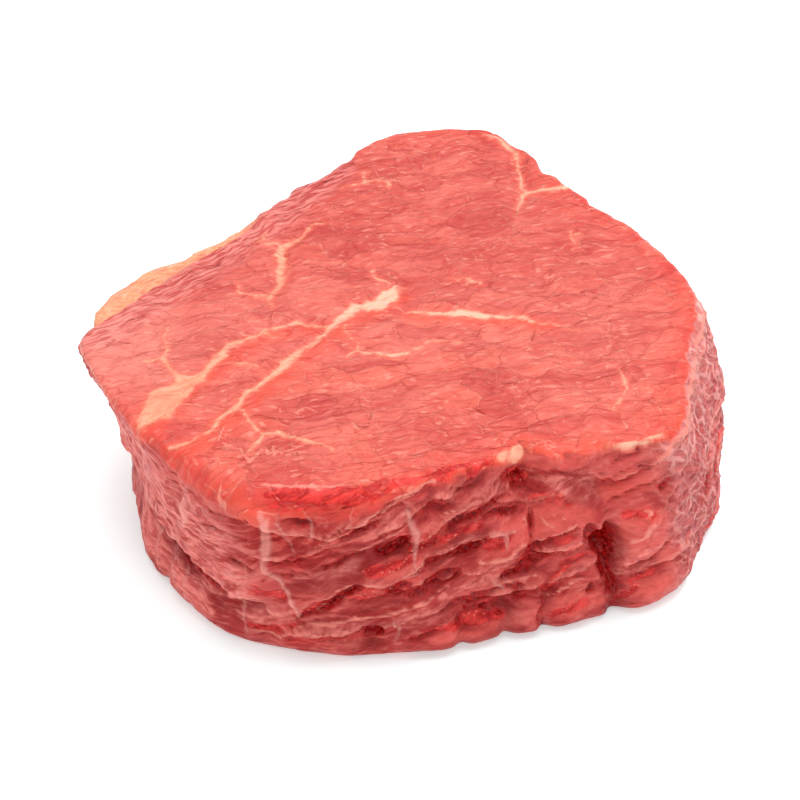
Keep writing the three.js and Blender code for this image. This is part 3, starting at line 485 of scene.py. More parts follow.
# Relief of the cut top and of the side: height of each form in millimetres
TOP_RELIEF = {
    "broad": 0.16, "fine": 0.1, "dome": 0.12, "groove": -0.15, "bundle": 0.04, "fibres": 0.03, "pleats": 0.09,
    "scraps": 0.26, "thread_glint": 0.5, "tear": -0.34, "fat": 0.12, "fat edge": -0.16,
}
WALL_RELIEF = {
    "thick": 0.6, "thin": 0.34, "lumps": 0.3, "fine": 0.12, "grit": 0.26, "groove": -1.1, "crest": 0.34,
    "film": 0.16, "net": 0.3, "film pleats": 0.3, "tip pleats": 0.4, "ragged": 1.0, "strand": 0.3,
}

# Cells: how many of the nearest sites are looked at for the border between two of them
NEAR_SITES = 7

# Net over the right side: the box of its cells round the steak, their spacing, how much longer they are
# round the steak than up it, and how deep they lie about the wall
NET_BOX = ((-6, -44, -28), (44, 44, 62))
NET_SPACING = 2.0
NET_STRETCH = 1.3
NET_DEPTH = 5

# How much further down a place that stands out of the wall is seen in the photograph
SEEN_TILT = 0.84

# Material: turn of the fibres in degrees, and sizes of the plots and bundles of the cut face in millimetres
FIBRE_TURN = -13
PLOT = 4.6
BUNDLE = 2.5

# Colours as the eye sees them: red, green and blue up to 255
COLOURS = {
    "cut": (198, 84, 75), "cut warm": (209, 97, 84), "plot light": (222, 108, 90), "plot dark": (184, 70, 66),
    "cut dull": (190, 82, 77), "bundle light": (226, 122, 108), "bundle dark": (188, 64, 59),
    # The streak colour is for pale streaks, partly painted glints
    "streak": (232, 130, 114), "grain": (188, 54, 50), "tip": (234, 142, 128), "glow": (229, 84, 66),
    "rim": (220, 62, 50), "rim light": (228, 82, 64), "groove": (170, 44, 44),
    "plot edge light": (240, 146, 128), "plot edge dark": (170, 36, 38), "big edge": (178, 50, 47),
    # The fleck and thread colours are for pale flecks and threads, partly painted glints
    "crack": (166, 38, 38), "small edge": (176, 46, 43), "fleck glint": (244, 158, 140), "thread_glint": (242, 158, 140),
    # The pleat colours are painted sheen on the pleats' ridges and painted shade in their furrows
    "pleat shade": (172, 62, 62), "pleat sheen": (234, 148, 140), "tear": (150, 26, 30),
    "wall dark": (168, 45, 44), "wall light": (198, 79, 75), "layer light": (216, 112, 104),
    # On the next line, the cavity colour is painted shade for the wall's hollows
    "layer dark": (132, 14, 21), "fresh": (224, 93, 84), "cavity_shade": (120, 6, 12), "shaded": (132, 24, 26),
    # The veil colour is film with a painted sheen near the top of the right side
    "right dark": (148, 42, 45), "right light": (190, 82, 79), "veil": (226, 138, 132),
    "net": (236, 168, 160), "raw dark": (172, 18, 22), "raw light": (222, 56, 52), "film dark": (186, 74, 71),
    # The deep colours are painted shade in the grooves and under the lips, in the deep red of wet flesh
    # The edge colour is for pale layer edges, partly painted highlight
    "film light": (234, 134, 126), "tie": (232, 150, 142), "edge": (230, 136, 122), "deep": (124, 2, 6),
    # Next line: a colour for painted glints on the wet flesh
    "deep light": (172, 20, 20), "glint": (240, 150, 134), "strand": (230, 150, 140), "haze": (235, 118, 94),
    "fat thin": (236, 154, 130), "fat pale": (238, 184, 158), "amber": (236, 134, 102),
    "amber light": (238, 158, 128), "fat deep": (236, 142, 112), "cap": (235, 148, 104),
    "cap light": (238, 174, 138),
}

# Lights: name, place in metres, size in metres, power. They aim at the middle of the steak
LIGHTS = [
    ("top", (0.1, 0.15, 0.9), 0.9, 6.5), ("key", (0.35, 0.3, 0.75), 0.1, 2.0),
    ("fill", (0.3, -0.8, 0.5), 0.7, 2.0), ("side", (-0.9, -0.1, 0.4), 0.5, 1.8),
]
LIGHT_AIM = (0, 0, 0.02)
WORLD_STRENGTH = 0.55
FLOOR_SIZE = 8

# The camera looks down on the steak from the front
CAMERA_ELEVATION = 40.0
CAMERA_DISTANCE = 500.0
CAMERA_TARGET = (-1.26, -5.57, 16.0)
CAMERA_LENS = 139.5
CAMERA_SENSOR = 36


def closed_curve(table, angle, column):
    """Column of a table of stations at any angle, as a smooth closed curve through them."""
    count = len(table)
    first = table[0][0]
    turned_on = (angle - first) % 360 + first
    after = np.searchsorted(table[:, 0], turned_on, side="right")

    def at(i):
        row = i % count
        return table[row, 0] + 360 * np.floor_divide(i, count), table[row, column]

    (a0, v0), (a1, v1), (a2, v2), (a3, v3) = (at(after + k) for k in (-2, -1, 0, 1))
    span = a2 - a1
    t = (turned_on - a1) / span
    slope1 = (v2 - v0) / (a2 - a0) * span
    slope2 = (v3 - v1) / (a3 - a1) * span
    a = 2 * t ** 3 - 3 * t ** 2 + 1
    b = t ** 3 - 2 * t ** 2 + t
    return a * v1 + b * slope1 + (1 - a) * v2 + (t ** 3 - t ** 2) * slope2


def turn_to(angle, other):
    """Signed gap in degrees from one angle to another."""
    return (angle - other + 180) % 360 - 180


def arc(degrees):
    """Length along the side, in millimetres, of a turn round the steak."""
    return np.radians(degrees) * MEAN_RADIUS


def outward(angle):
    """Unit vectors that point out of the steak at these angles."""
    turn = np.radians(angle)
    return np.stack([np.cos(turn), np.sin(turn)], -1)


def bell(value):
    return np.exp(-value ** 2)


def ease(low, high, value):
    """Smooth step from 0 at low to 1 at high."""
    t = np.clip((value - low) / (high - low), 0, 1)
    return t * t * (3 - 2 * t)


def noise(points, size, seed):
    """Smooth random values from about -1 to 1 with features of a given size."""
    lattice = np.random.default_rng(seed).uniform(-1, 1, (LATTICE, LATTICE, LATTICE))
    q = points / size + LATTICE_MIDDLE
    base = np.floor(q).astype(int)
    t = q - base
    t = t * t * t * (t * (t * 6 - 15) + 10)
    low, high = base % LATTICE, (base + 1) % LATTICE
    total = 0
    for corner in range(8):
        picks = [(corner >> k) & 1 for k in range(3)]
        index = [(high if pick else low)[..., k] for k, pick in enumerate(picks)]
        weight = 1
        for k, pick in enumerate(picks):
            weight = weight * (t[..., k] if pick else 1 - t[..., k])
        total = total + weight * lattice[tuple(index)]
    return total * NOISE_GAIN


def layered_noise(points, size, seed, octaves=3):
    return sum(0.5 ** k * noise(points, size / 2 ** k, seed + k) for k in range(octaves))


def shifts(points, size, seed, axes=2):
    """Smooth random values side by side, one column for each axis that they shift."""
    return np.column_stack([noise(points, size, seed + k) for k in range(axes)])


def ridges(points, size, seed):
    """Sharp crests from 0 to 1 between soft hollows."""
    return 1 - np.minimum(1, RIDGE_STEEPNESS * np.abs(noise(points, size, seed)))


def wall_place(angle, z):
    """A place on the wall for noise to be looked up at: round the steak there is no join."""
    return np.column_stack([MEAN_RADIUS * outward(angle), z + 0 * angle])


def lean(angle, z):
    """How much higher a layer of the wall lies at this angle than in the middle of the craggy front."""
    round_front = turn_to(angle, CRAG_MIDDLE)
    return arc(round_front) * ease(75, 35, np.abs(round_front)) * (0.1 + 0.006 * z)


def off_centre(angle, height, spot):
    """Distance from the middle of a spot on the side, as a share of its half width and half height."""
    at, middle, half_width, half_height = spot[:4]
    return np.hypot(arc(turn_to(angle, at)) / half_width, (height - middle) / half_height)


def lip_gap(number, angle, z):
    """Height above a lip's torn edge, and how much of the lip there is at this angle."""
    out, _, _, line = LIPS[number]
    seed = LIP_SEED + 5 * number
    angles, heights = np.array(line).T
    middle = (angles[0] + angles[-1]) / 2
    here = middle + turn_to(angle, middle)
    beyond = arc(np.maximum(np.maximum(angles[0] - here, here - angles[-1]), 0))
    place = wall_place(angle, 0 * z)
    torn = 0.55 * noise(place, 5.0, seed) + 0.32 * noise(place, 1.9, seed + 1)
    torn += 0.07 * noise(place, 1.1, seed + 3)
    edge = np.interp(here, angles, heights) + torn + LIP_RISE * out + LIP_LIFT
    broken = 0.35 + 0.65 * ease(-0.7, 0.2, noise(place, 5.5, seed + 2))
    return z - edge, bell(beyond / LIP_END) * broken


def wall_form(angle, z):
    """Radius of the wall, its height after the lips hang down, and its relief."""
    t = z / THICKNESS
    radius = closed_curve(STATIONS, angle, 2) * (1 - t) + closed_curve(STATIONS, angle, 1) * t
    radius = radius + closed_curve(STATIONS, angle, 3) * 4 * t * (1 - t)
    for at, depth, half in NOTCHES:
        radius = radius - depth * t ** 2 * bell(turn_to(angle, at) / half)
    calm = ease(0, 4, THICKNESS - z)
    for turns, rise, phase, height in LUMPS:
        wave = np.sin(turns * np.radians(angle) + rise * z / 10 + phase)
        radius = radius + height * wave * (0.3 + 0.7 * calm)
    relief = np.zeros_like(radius)
    hang = np.zeros_like(radius)
    for number, (out, under, reach, _) in enumerate(LIPS):
        gap, strength = lip_gap(number, angle, z)
        side = gap / np.hypot(gap, LIP_SOFTNESS)
        height = np.where(side > 0, out, under)
        relief += strength * side * height * np.exp(-np.abs(gap) / reach) * (0.25 + 0.75 * calm)
        over = ease(-0.3, 0.2, gap) * np.exp(-np.abs(gap) / LIP_HANG_REACH)
        hang += strength * over * min(1, (out + under) / LIP_FULL)
    for depth, half, line in CLEFTS:
        angles, heights = np.array(line).T
        beyond = np.maximum(np.maximum(z - heights[0], heights[-1] - z), 0)
        gap = arc(turn_to(angle, np.interp(-z, -heights, angles)))
        relief -= depth * bell(gap / half) * bell(beyond / CLEFT_END)
    for knob in KNOBS:
        relief += knob[4] * bell(off_centre(angle, z, knob))
    tongue = np.maximum(closed_curve(FAT_TONGUE, angle, 1), 0)
    above = (z - TONGUE_HEIGHT) / np.where(z > TONGUE_HEIGHT, TONGUE_HALF, 0.7 * TONGUE_HALF)
    return radius + relief + tongue * np.exp(-above ** 4), z - LIP_HANG * np.clip(hang, 0, 1.3), relief


def distance_to(line, points):
    """Distance from plan points to a line of plan points, the value along it, and the nearest places."""
    line = np.array(line, float)
    best = np.full(len(points), np.inf)
    width = np.zeros(len(points))
    nearest = np.zeros_like(points)
    for a, b in zip(line[:-1], line[1:]):
        run = b[:2] - a[:2]
        t = np.clip((points - a[:2]) @ run / (run @ run), 0, 1)
        place = a[:2] + t[:, None] * run
        away = np.hypot(*(points - place).T)
        closer = away < best
        best = np.where(closer, away, best)
        nearest[closer] = place[closer]
        if len(a) > 2:
            width = np.where(closer, a[2] + t * (b[2] - a[2]), width)
    return best, width, nearest


def inside_lines(lines, points):
    """How far inside lines that have a width plan points are, in millimetres, with a minus outside."""
    inside = np.full(len(points), OUTSIDE)
    for line in lines:
        away, width, _ = distance_to(line, points)
        inside = np.maximum(inside, width / 2 - away)
    return inside


def inside_outline(corners, points):
    """How far inside a closed outline plan points are, with a minus outside."""
    ends = corners[1:] + corners[:1]
    away = distance_to(corners + corners[:1], points)[0]
    enclosed = np.zeros(len(points), bool)
    for (ax, ay), (bx, by) in zip(corners, ends):
        if ay != by:
            crossing = ax + (points[:, 1] - ay) * (bx - ax) / (by - ay)
            enclosed ^= ((ay > points[:, 1]) != (by > points[:, 1])) & (points[:, 0] < crossing)
    return np.where(enclosed, away, -away)


def top_height(plan):
    """Height of the cut top over plan points."""
    z = np.full(len(plan), THICKNESS)
    for x, y, height, radius in SWELLS:
        z += height * bell(np.hypot(plan[:, 0] - x, plan[:, 1] - y) / radius)
    for seam in DIP_SEAMS:
        z -= SEAM_DIP * bell(distance_to(seam, plan)[0] / SEAM_REACH)
    return z


def ring_angles():
    """Angles of the wall's points, spaced by distance along the rim and closer on the craggy front."""
    steps = np.linspace(0, 360, 3601)
    x, y = (closed_curve(STATIONS, steps, 1)[:, None] * outward(steps)).T
    crag = np.exp(-(turn_to(steps, CRAG_MIDDLE) / CRAG_SPREAD) ** 4)
    length = np.hypot(np.diff(x), np.diff(y)) * (1 + CRAG_EXTRA * crag[1:])
    walked = np.concatenate([[0], np.cumsum(length)])
    return np.interp(walked[-1] * np.arange(RING) / RING, walked, steps)


def within(region, angle, end_angle=None):
    """How much of a region there is at this angle, from 0 to 1."""
    begins, ends = region
    return ease(*begins, angle) * ease(*ends, angle if end_angle is None else end_angle)


def wall_rows():
    """Points of the wall from the cut top, over the rim, down the side and under the foot.

    With them come the height before the lips hang, the distance below the cut edge, the relief, and how
    far the point stands out of the plain side.
    """
    angle = ring_angles()
    inset = closed_curve(ROLLS, angle, 1)
    drop = closed_curve(ROLLS, angle, 2)
    shelf = within(FAT_SHELF, angle)
    out = outward(angle)
    rim = (wall_form(angle, np.full(RING, THICKNESS))[0] - inset)[:, None] * out
    crest = top_height(rim - PLAN_ZERO)
    rows = []
    for i in range(ROLL_ROWS + 1):
        t = i / ROLL_ROWS
        turn = t * math.pi / 2
        stepped = 0.6 * ease(0, 0.3, t) + 0.4 * ease(0.6, 1, t)
        sink = (1 - math.cos(turn)) * (1 - shelf) + stepped * shelf
        pull = (1 - math.sin(turn)) * (1 - shelf) + (1 - t) * shelf
        z = crest - drop * sink
        radius, hung, relief = wall_form(angle, z)
        pulled = inset * pull
        lowered = z + (hung - z) * t ** 2
        rows.append((radius - pulled, lowered, z, drop * sink - pulled, relief * t, relief - pulled))
    for i in range(1, WALL_ROWS + 1):
        z = crest - drop + (FOOT_ROUND - crest + drop) * i / WALL_ROWS
        radius, hung, relief = wall_form(angle, z)
        rows.append((radius, np.maximum(hung, 0.4 * z), z, crest - z, relief, relief))
    for i in range(1, FOOT_ROWS + 1):
        turn = i / FOOT_ROWS * math.pi / 2
        z = np.full(RING, FOOT_ROUND * (1 - math.sin(turn)) if i < FOOT_ROWS else 0.0)
        radius, _, relief = wall_form(angle, z)
        tucked = radius - FOOT_TUCK * FOOT_ROUND * (1 - math.cos(turn))
        rows.append((tucked, z, z, crest - z, relief, relief))
    points = np.array([np.column_stack([row[0][:, None] * out, row[1]]) for row in rows])
    level, below, relief, stands = (np.array([row[k] for row in rows]) for k in (2, 3, 4, 5))
    return points, angle, level, below, relief, stands


def grid_plan(ring, cells):
    """Plan of a square grid whose border is a closed ring of 4 * cells points, evened out inside."""
    plan = np.zeros((cells + 1, cells + 1, 2))
    plan[:, 0] = ring[:cells + 1]
    plan[cells, :] = ring[cells:2 * cells + 1]
    plan[::-1, cells] = ring[2 * cells:3 * cells + 1]
    plan[0, ::-1] = np.concatenate([ring[3 * cells:], ring[:1]])
    u = np.linspace(0, 1, cells + 1)[:, None, None]
    v = np.linspace(0, 1, cells + 1)[None, :, None]
    sides = plan[:1] * (1 - u) + plan[-1:] * u + plan[:, :1] * (1 - v) + plan[:, -1:] * v
    corners = (plan[0, 0] * (1 - u) * (1 - v) + plan[-1, 0] * u * (1 - v)
               + plan[0, -1] * (1 - u) * v + plan[-1, -1] * u * v)
    plan[1:-1, 1:-1] = (sides - corners)[1:-1, 1:-1]
    for _ in range(RELAX_STEPS):
        plan[1:-1, 1:-1] = (plan[:-2, 1:-1] + plan[2:, 1:-1] + plan[1:-1, :-2] + plan[1:-1, 2:]) / 4
    return plan


def border_of(index):
    """The grid's border as one ring of indices, in the order of the ring that it was made from."""
    return np.concatenate([index[:-1, 0], index[-1, :-1], index[:0:-1, -1], index[0, :0:-1]])


def grid_faces(index, flip):
    quads = np.stack([index[:-1, :-1], index[1:, :-1], index[1:, 1:], index[:-1, 1:]], -1).reshape(-1, 4)
    return quads[:, ::-1] if flip else quads


def band_faces(upper, lower):
    """Quads between two rings of the same length, the upper one nearer the cut top."""
    return np.stack([upper, lower, np.roll(lower, -1), np.roll(upper, -1)], -1)


class Surface:
    """The closed surface of the steak: its points and faces, and where each point lies on the form."""

    def __init__(self):
        wall, angle, level, below, relief, stands = wall_rows()
        rows = len(wall)
        self.points = wall.reshape(-1, 3)
        self.angle = np.tile(angle, rows)
        self.level, self.below = level.reshape(-1), below.reshape(-1)
        self.relief, self.stands = relief.reshape(-1), stands.reshape(-1)
        self.row = np.repeat(np.arange(rows), RING)
        ring = np.arange(RING)
        self.quads = [band_faces(ring + row * RING, ring + (row + 1) * RING) for row in range(rows - 1)]
        self.triangles = []
        rim = wall[0, :, :2]
        top = grid_plan(rim * (1 - TOP_GAP / MEAN_RADIUS), GRID).reshape(-1, 2)
        self.top = self.add(top, top_height(top - PLAN_ZERO)).reshape(GRID + 1, GRID + 1)
        inner = self.top.ravel()
        rim_radius = np.interp(self.angle[inner], angle, np.hypot(*rim.T), period=360)
        rim_below = np.interp(self.angle[inner], angle, below[0], period=360)
        self.below[inner] = rim_below + np.hypot(*top.T) - rim_radius
        self.quads += [band_faces(border_of(self.top), ring), grid_faces(self.top, False)]
        outer = ring + (rows - 1) * RING
        for shrink in UNDER_RINGS:
            outer = self.halve(outer, shrink)
        cells = len(outer) // 4
        under = grid_plan(self.points[outer, :2] * UNDER_SHRINK, cells).reshape(-1, 2)
        index = self.add(under, 0 * under[:, 0]).reshape(cells + 1, cells + 1)
        self.quads += [band_faces(outer, border_of(index)), grid_faces(index, True)]

    def add(self, plan, height):
        """Takes up points that aren't on the wall, and returns their indices."""
        first, count = len(self.points), len(plan)
        more = {
            "points": np.column_stack([plan, height]), "level": height, "below": THICKNESS - height,
            "angle": np.degrees(np.arctan2(plan[:, 1], plan[:, 0])) % 360,
            "relief": np.zeros(count), "stands": np.zeros(count), "row": np.full(count, -1),
        }
        for name, values in more.items():
            setattr(self, name, np.concatenate([getattr(self, name), values]))
        return np.arange(first, first + count)

    def halve(self, outer, shrink):
        """A ring of half as many points inside the outer one, on the underside, joined to it."""
        kept = self.points[outer[::2]]
        inner = self.add(kept[:, :2] * shrink, kept[:, 2])
        after = np.roll(inner, -1)
        first, middle, last = outer[::2], outer[1::2], np.roll(outer[::2], -1)
        for corners in ((inner, middle, first), (inner, after, middle), (after, last, middle)):
            self.triangles.append(np.stack(corners, -1))
        return inner


def cell_pattern(points, sites, chunk=3000):
    """For each point: the nearest site, and the distance to the border with the next one."""
    nearest = np.zeros(len(points), int)
    border = np.zeros(len(points))
    square = (sites ** 2).sum(1)
    for start in range(0, len(points), chunk):
        p = points[start:start + chunk]
        far = (p ** 2).sum(1)[:, None] + square - 2 * p @ sites.T
        close = np.argpartition(far, NEAR_SITES - 1, axis=1)[:, :NEAR_SITES]
        order = np.argsort(np.take_along_axis(far, close, 1), axis=1)
        close = np.take_along_axis(close, order, 1)
        reach = np.take_along_axis(far, close, 1)
        apart = np.linalg.norm(sites[close[:, 1:]] - sites[close[:, :1]], axis=2)
        nearest[start:start + chunk] = close[:, 0]
        border[start:start + chunk] = ((reach[:, 1:] - reach[:, :1]) / (2 * apart)).min(1)
    return nearest, border


def scattered_sites(low, high, spacing, seed):
    """Loosely even random places in a box of any number of dimensions."""
    rng = np.random.default_rng(seed)
    axes = [np.arange(a, b, spacing) for a, b in zip(low, high)]
    grid = np.stack(np.meshgrid(*axes, indexing="ij"), -1).reshape(-1, len(low))
    return grid + rng.uniform(-0.5, 0.5, grid.shape) * spacing


def turned(plan, degrees, stretch):
    """Plan places turned, and squeezed along the first axis so that what is even there is long here."""
    a = math.radians(degrees)
    x = plan[:, 0] * math.cos(a) + plan[:, 1] * math.sin(a)
    y = -plan[:, 0] * math.sin(a) + plan[:, 1] * math.cos(a)
    return np.column_stack([x / stretch, y])


def flat_place(plan):
    return np.column_stack([plan, 0 * plan[:, 0]])


def snap(points, plan, line, keep):
    """Moves plan points that lie beside a thin line onto it, so that the line stays sharp."""
    away, _, nearest = distance_to(line, plan)
    close = (away < LINE_SNAP) & keep
    shift = (nearest - plan)[close]
    points[close, :2] += shift
    plan[close] += shift


def in_fat(wavy, angle, below):
    """How far inside fat a place on the cut top is, in millimetres, with a minus outside."""
    inside = inside_lines(VEINS, wavy)
    for outline in FAT_PATCHES:
        inside = np.maximum(inside, inside_outline(outline, wavy))
    for lump in EDGE_FAT:
        inside = np.maximum(inside, lump[3] * (1 - off_centre(angle, below, lump)))
    return inside


def strokes(lines, plan, spread):
    """How strongly thin strokes mark plan places: their third value in the middle, fading to the side."""
    mark = np.zeros(len(plan))
    for line in lines:
        away, height, _ = distance_to(line, plan)
        mark = np.maximum(mark, height * bell(away / spread))
    return mark


def fibre_bundles(plan, stir, place, left):
    """Pattern of the fibre bundles on the cut top: their dark borders, their swell, and their own height."""
    rng = np.random.default_rng(33)
    borders, heights = [], 0
    for spacing, seed, degrees, stretch, weight in BUNDLES:
        sites = scattered_sites((-TOP_BOX, -TOP_BOX), (TOP_BOX, TOP_BOX), spacing, seed)
        nearest, border = cell_pattern(turned(plan + stir, degrees, stretch), sites)
        heights = heights + weight * rng.uniform(-1, 1, len(sites))[nearest]
        borders.append(border)
    large, small = borders
    present = ease(-0.45, 0.4, noise(place, 8, 41) + 0.6 * noise(place, 3.5, 42))
    finer = np.maximum(left, ease(0.0, 0.8, noise(place, 11, 43)))
    groove = bell(large / 0.42) * (0.25 + 0.75 * present)
    groove = np.maximum(groove, 0.75 * bell(small / 0.36) * finer * (0.3 + 0.7 * present))
    dome = np.clip(large / 1.4, 0, 1) + 0.5 * finer * np.clip(small / 0.9, 0, 1)
    return groove, dome, heights


def dress_top(surface):
    """Relief and marks of the cut top. Returns the points that it marks, and the marks."""
    points = surface.points
    on_top = np.zeros(len(points), bool)
    on_top[surface.top.ravel()] = True
    edge = (surface.row >= 0) & (surface.row <= ROLL_ROWS + EDGE_ROWS)
    part = np.flatnonzero(on_top | edge)
    angle, below, row = surface.angle[part], surface.below[part], surface.row[part]
    moved = points[part].copy()
    plan = moved[:, :2] - PLAN_ZERO
    place = flat_place(plan)
    warp = 0.4 * shifts(place, 2.6, 11) + 0.28 * shifts(place, 1.1, 13)
    stir = 1.4 * shifts(place, 6.5, 21) + 0.45 * shifts(place, 2.2, 23)
    wavy = plan + warp
    keep = np.zeros(len(points), bool)
    keep[surface.top[2:-2, 2:-2]] = True
    keep = keep[part]
    for line in VEINS:
        if max(p[2] for p in line) < THIN_VEIN:
            snap(moved, wavy, line, keep)
    for line in THREADS_AND_GLINTS + TEARS:
        snap(moved, moved[:, :2] - PLAN_ZERO, line, keep)
    plan = moved[:, :2] - PLAN_ZERO
    x, y = plan.T
    fat = in_fat(wavy, angle, below)
    bent = plan + 0.5 * warp
    thread_glint = strokes(THREADS_AND_GLINTS, bent, 0.26)
    tear = strokes(TEARS, bent, 0.3) * 3
    vessel = np.hypot(x - VESSEL[0], (y - VESSEL[1]) * 0.7)
    tear = np.maximum(tear, 1.4 * bell(vessel / VESSEL[2]))

    left = ease(4, -4, x + 19 - 0.35 * (y - 8)) * ease(-24, -8, y - 0.2 * x)
    left = left * (0.35 + 0.65 * ease(-46, -32, x))
    groove, dome, bundle = fibre_bundles(plan, stir, place, left)
    fibres = ridges(flat_place(turned(plan + 0.5 * stir, 18, 4.0)), 1.5, 45)
    away, half, _ = distance_to(PLEAT_BAND, plan)
    pleated = ease(1.15, 0.4, away / half) * ease(0.4, -0.6, below)
    pleats = ridges(flat_place(turned(plan + 0.6 * stir, 38, 5.0)), 1.0, 65)
    torn = ease(12, 4, np.hypot(x + 23, (y + 30) * 1.2))
    torn = np.maximum(torn, 0.6 * ease(5, 1, -below) * within(TORN_EDGE, angle))
    scraps = ridges(flat_place(turned(plan + 0.5 * stir, 60, 2.2)), 1.2, 61) ** 2

    forms = {
        "broad": layered_noise(place, 7, 51, 2), "fine": layered_noise(place, 2.4, 55, 2),
        "dome": dome, "groove": groove, "bundle": bundle, "fibres": fibres * (1 - pleated),
        "pleats": pleated * (pleats - 0.6), "scraps": torn * scraps, "thread_glint": thread_glint,
        "tear": np.minimum(tear, 1), "fat": np.clip(fat, 0, 0.8), "fat edge": bell((fat + 0.4) / 0.4),
    }
    up = sum(TOP_RELIEF[name] * form for name, form in forms.items())
    for lump in EDGE_FAT:
        up += lump[4] * bell(off_centre(angle, below, lump) / 0.9)
    fade = np.where(on_top[part], 1.0, 1 - np.clip(row / (ROLL_ROWS + 1), 0, 1))
    moved[:, 2] += up * fade
    points[part] = moved

    glow = np.zeros(len(part))
    for seam in DIP_SEAMS[:3]:
        glow = np.maximum(glow, bell(distance_to(seam, plan - GLOW_BESIDE)[0] / 1.9))
    amber = 0.5 * ease(-8, -15, x)
    for at_x, at_y, weight, reach in AMBER:
        amber = np.maximum(amber, weight * ease(1.3 * reach, 0.7 * reach, np.hypot(x - at_x, y - at_y)))
    rim = np.exp(np.minimum(below, 0) / 3.4) * np.clip(closed_curve(EDGE_LOOK, angle, 1), 0, 1)
    pale_tip = 1.3 * ease(19, 5, np.hypot(x + 45, y + 6))
    surface.flow[part] = flat_place(plan + 0.7 * stir)
    return part, {
        "fat": fat, "thread_glint": thread_glint, "tear": tear, "groove": groove, "amber": amber, "pleated": pleated,
        "dark_side": np.maximum(left, 0.75 * ease(-4, 14, y)), "glow": glow,
        "tip": np.maximum(pale_tip, 0.35 * bell((y + 1) / 9)),
        "rim": rim * ease(ROLL_ROWS + EDGE_ROWS, ROLL_ROWS, row),
    }


def shingles(angle, z, spacing, seed):
    """Thin overlapping layers: how far each stands out, its lower edge, and the gap under that edge."""
    place = wall_place(angle, z)
    drift = 0.8 * noise(place, 10, seed) + 0.3 * noise(place, 3.2, seed + 1)
    drift += 0.07 * noise(place, 1.4, seed + 2)
    count = (z - lean(angle, z)) / spacing + drift
    number = np.floor(count)
    up = count - number
    share = np.random.default_rng(seed + 3).uniform(0.3, 1, 128)[number.astype(int) % 128]
    own = np.column_stack([place[:, :2], number * 7.3])
    share = share * np.clip(0.45 + 0.9 * noise(own, 8, seed + 4), 0, 1.4)
    out = share * ((1 - up) ** 1.4 * ease(0, 0.14, up) - 0.35)
    return out, share * bell((up - 0.16) / 0.13), share * bell(np.minimum(up, 1 - up) / 0.09)


def wall_strokes(lines, angle, height, wobble):
    """How far inside strokes on the wall places are, in millimetres, with a minus outside."""
    inside = np.full(len(angle), OUTSIDE)
    for line in lines:
        angles, heights, widths = np.array(line).T
        middle = (angles[0] + angles[-1]) / 2
        half = abs(angles[-1] - angles[0]) / 2 + STROKE_MARGIN
        near = np.flatnonzero(np.abs(turn_to(angle, middle)) < half)
        here = np.column_stack([arc(turn_to(angle[near], middle)), height[near]]) + wobble[near]
        stroke = np.column_stack([arc(angles - middle), heights, widths])
        inside[near] = np.maximum(inside[near], inside_lines([stroke], here))
    return inside


def hidden_strokes(kind):
    """Strokes for the sides that the photograph hides, as wide and as long as those that it shows."""
    count, least, greatest, width = HIDDEN_STROKES[kind]
    rng = np.random.default_rng(len(kind) * 100 + count)
    lines = []
    for _ in range(count):
        first, height = rng.uniform(*HIDDEN_ANGLES), rng.uniform(3.5, 28)
        span = math.degrees(rng.uniform(least, greatest) / MEAN_RADIUS)
        rise, sag = rng.uniform(-1.5, 2.5), rng.uniform(-0.8, 0.8)
        wide = width * rng.uniform(0.45, 1)
        lines.append([(first + span * t, height + rise * t + sag * math.sin(math.pi * t), wide * share)
                      for t, share in ((0, 0.4), (0.3, 1), (0.7, 0.9), (1, 0.3))])
    return lines


def lip_marks(angle, z):
    """Pale edges of the lips, partly painted highlight, and the painted shade and the wet flesh under them.
    """
    crest, shade, wet = (np.zeros(len(angle)) for _ in range(3))
    for number, (out, under, _, _) in enumerate(LIPS):
        gap, there = lip_gap(number, angle, z)
        there = there * min(1.2, (out + under) / LIP_FULL)
        under_edge = np.minimum(gap, 0)
        crest = np.maximum(crest, there * bell((gap - 0.5) / 0.5))
        shade = np.maximum(shade, there * ease(0.3, -0.1, gap) * np.exp(under_edge / 0.7))
        wet = np.maximum(wet, there * ease(0.0, -0.7, gap) * np.exp(under_edge / 2.2))
    return crest, shade, wet


def net_gaps(angle, z, below, place, right):
    """Distance to the nearest strand of the net over the right side, 3 where there is no net."""
    slant = z + 0.35 * arc(turn_to(angle, 340))
    net_at = np.column_stack([place[:, :2] / NET_STRETCH, slant])
    net_at += 0.7 * shifts(place, 3, 111, 3) + 0.25 * shifts(place, 1, 114, 3)
    sites = scattered_sites(*NET_BOX, NET_SPACING, 121)
    off_wall = np.abs(np.hypot(sites[:, 0], sites[:, 1]) * NET_STRETCH - MEAN_RADIUS)
    sites = sites[off_wall < NET_DEPTH]
    gap = np.full(len(angle), NO_NET)
    webbed = right > 0.01
    gap[webbed] = cell_pattern(net_at[webbed], sites)[1]
    return np.minimum(gap, np.abs(below - 0.5) / 1.3 + 0.06)


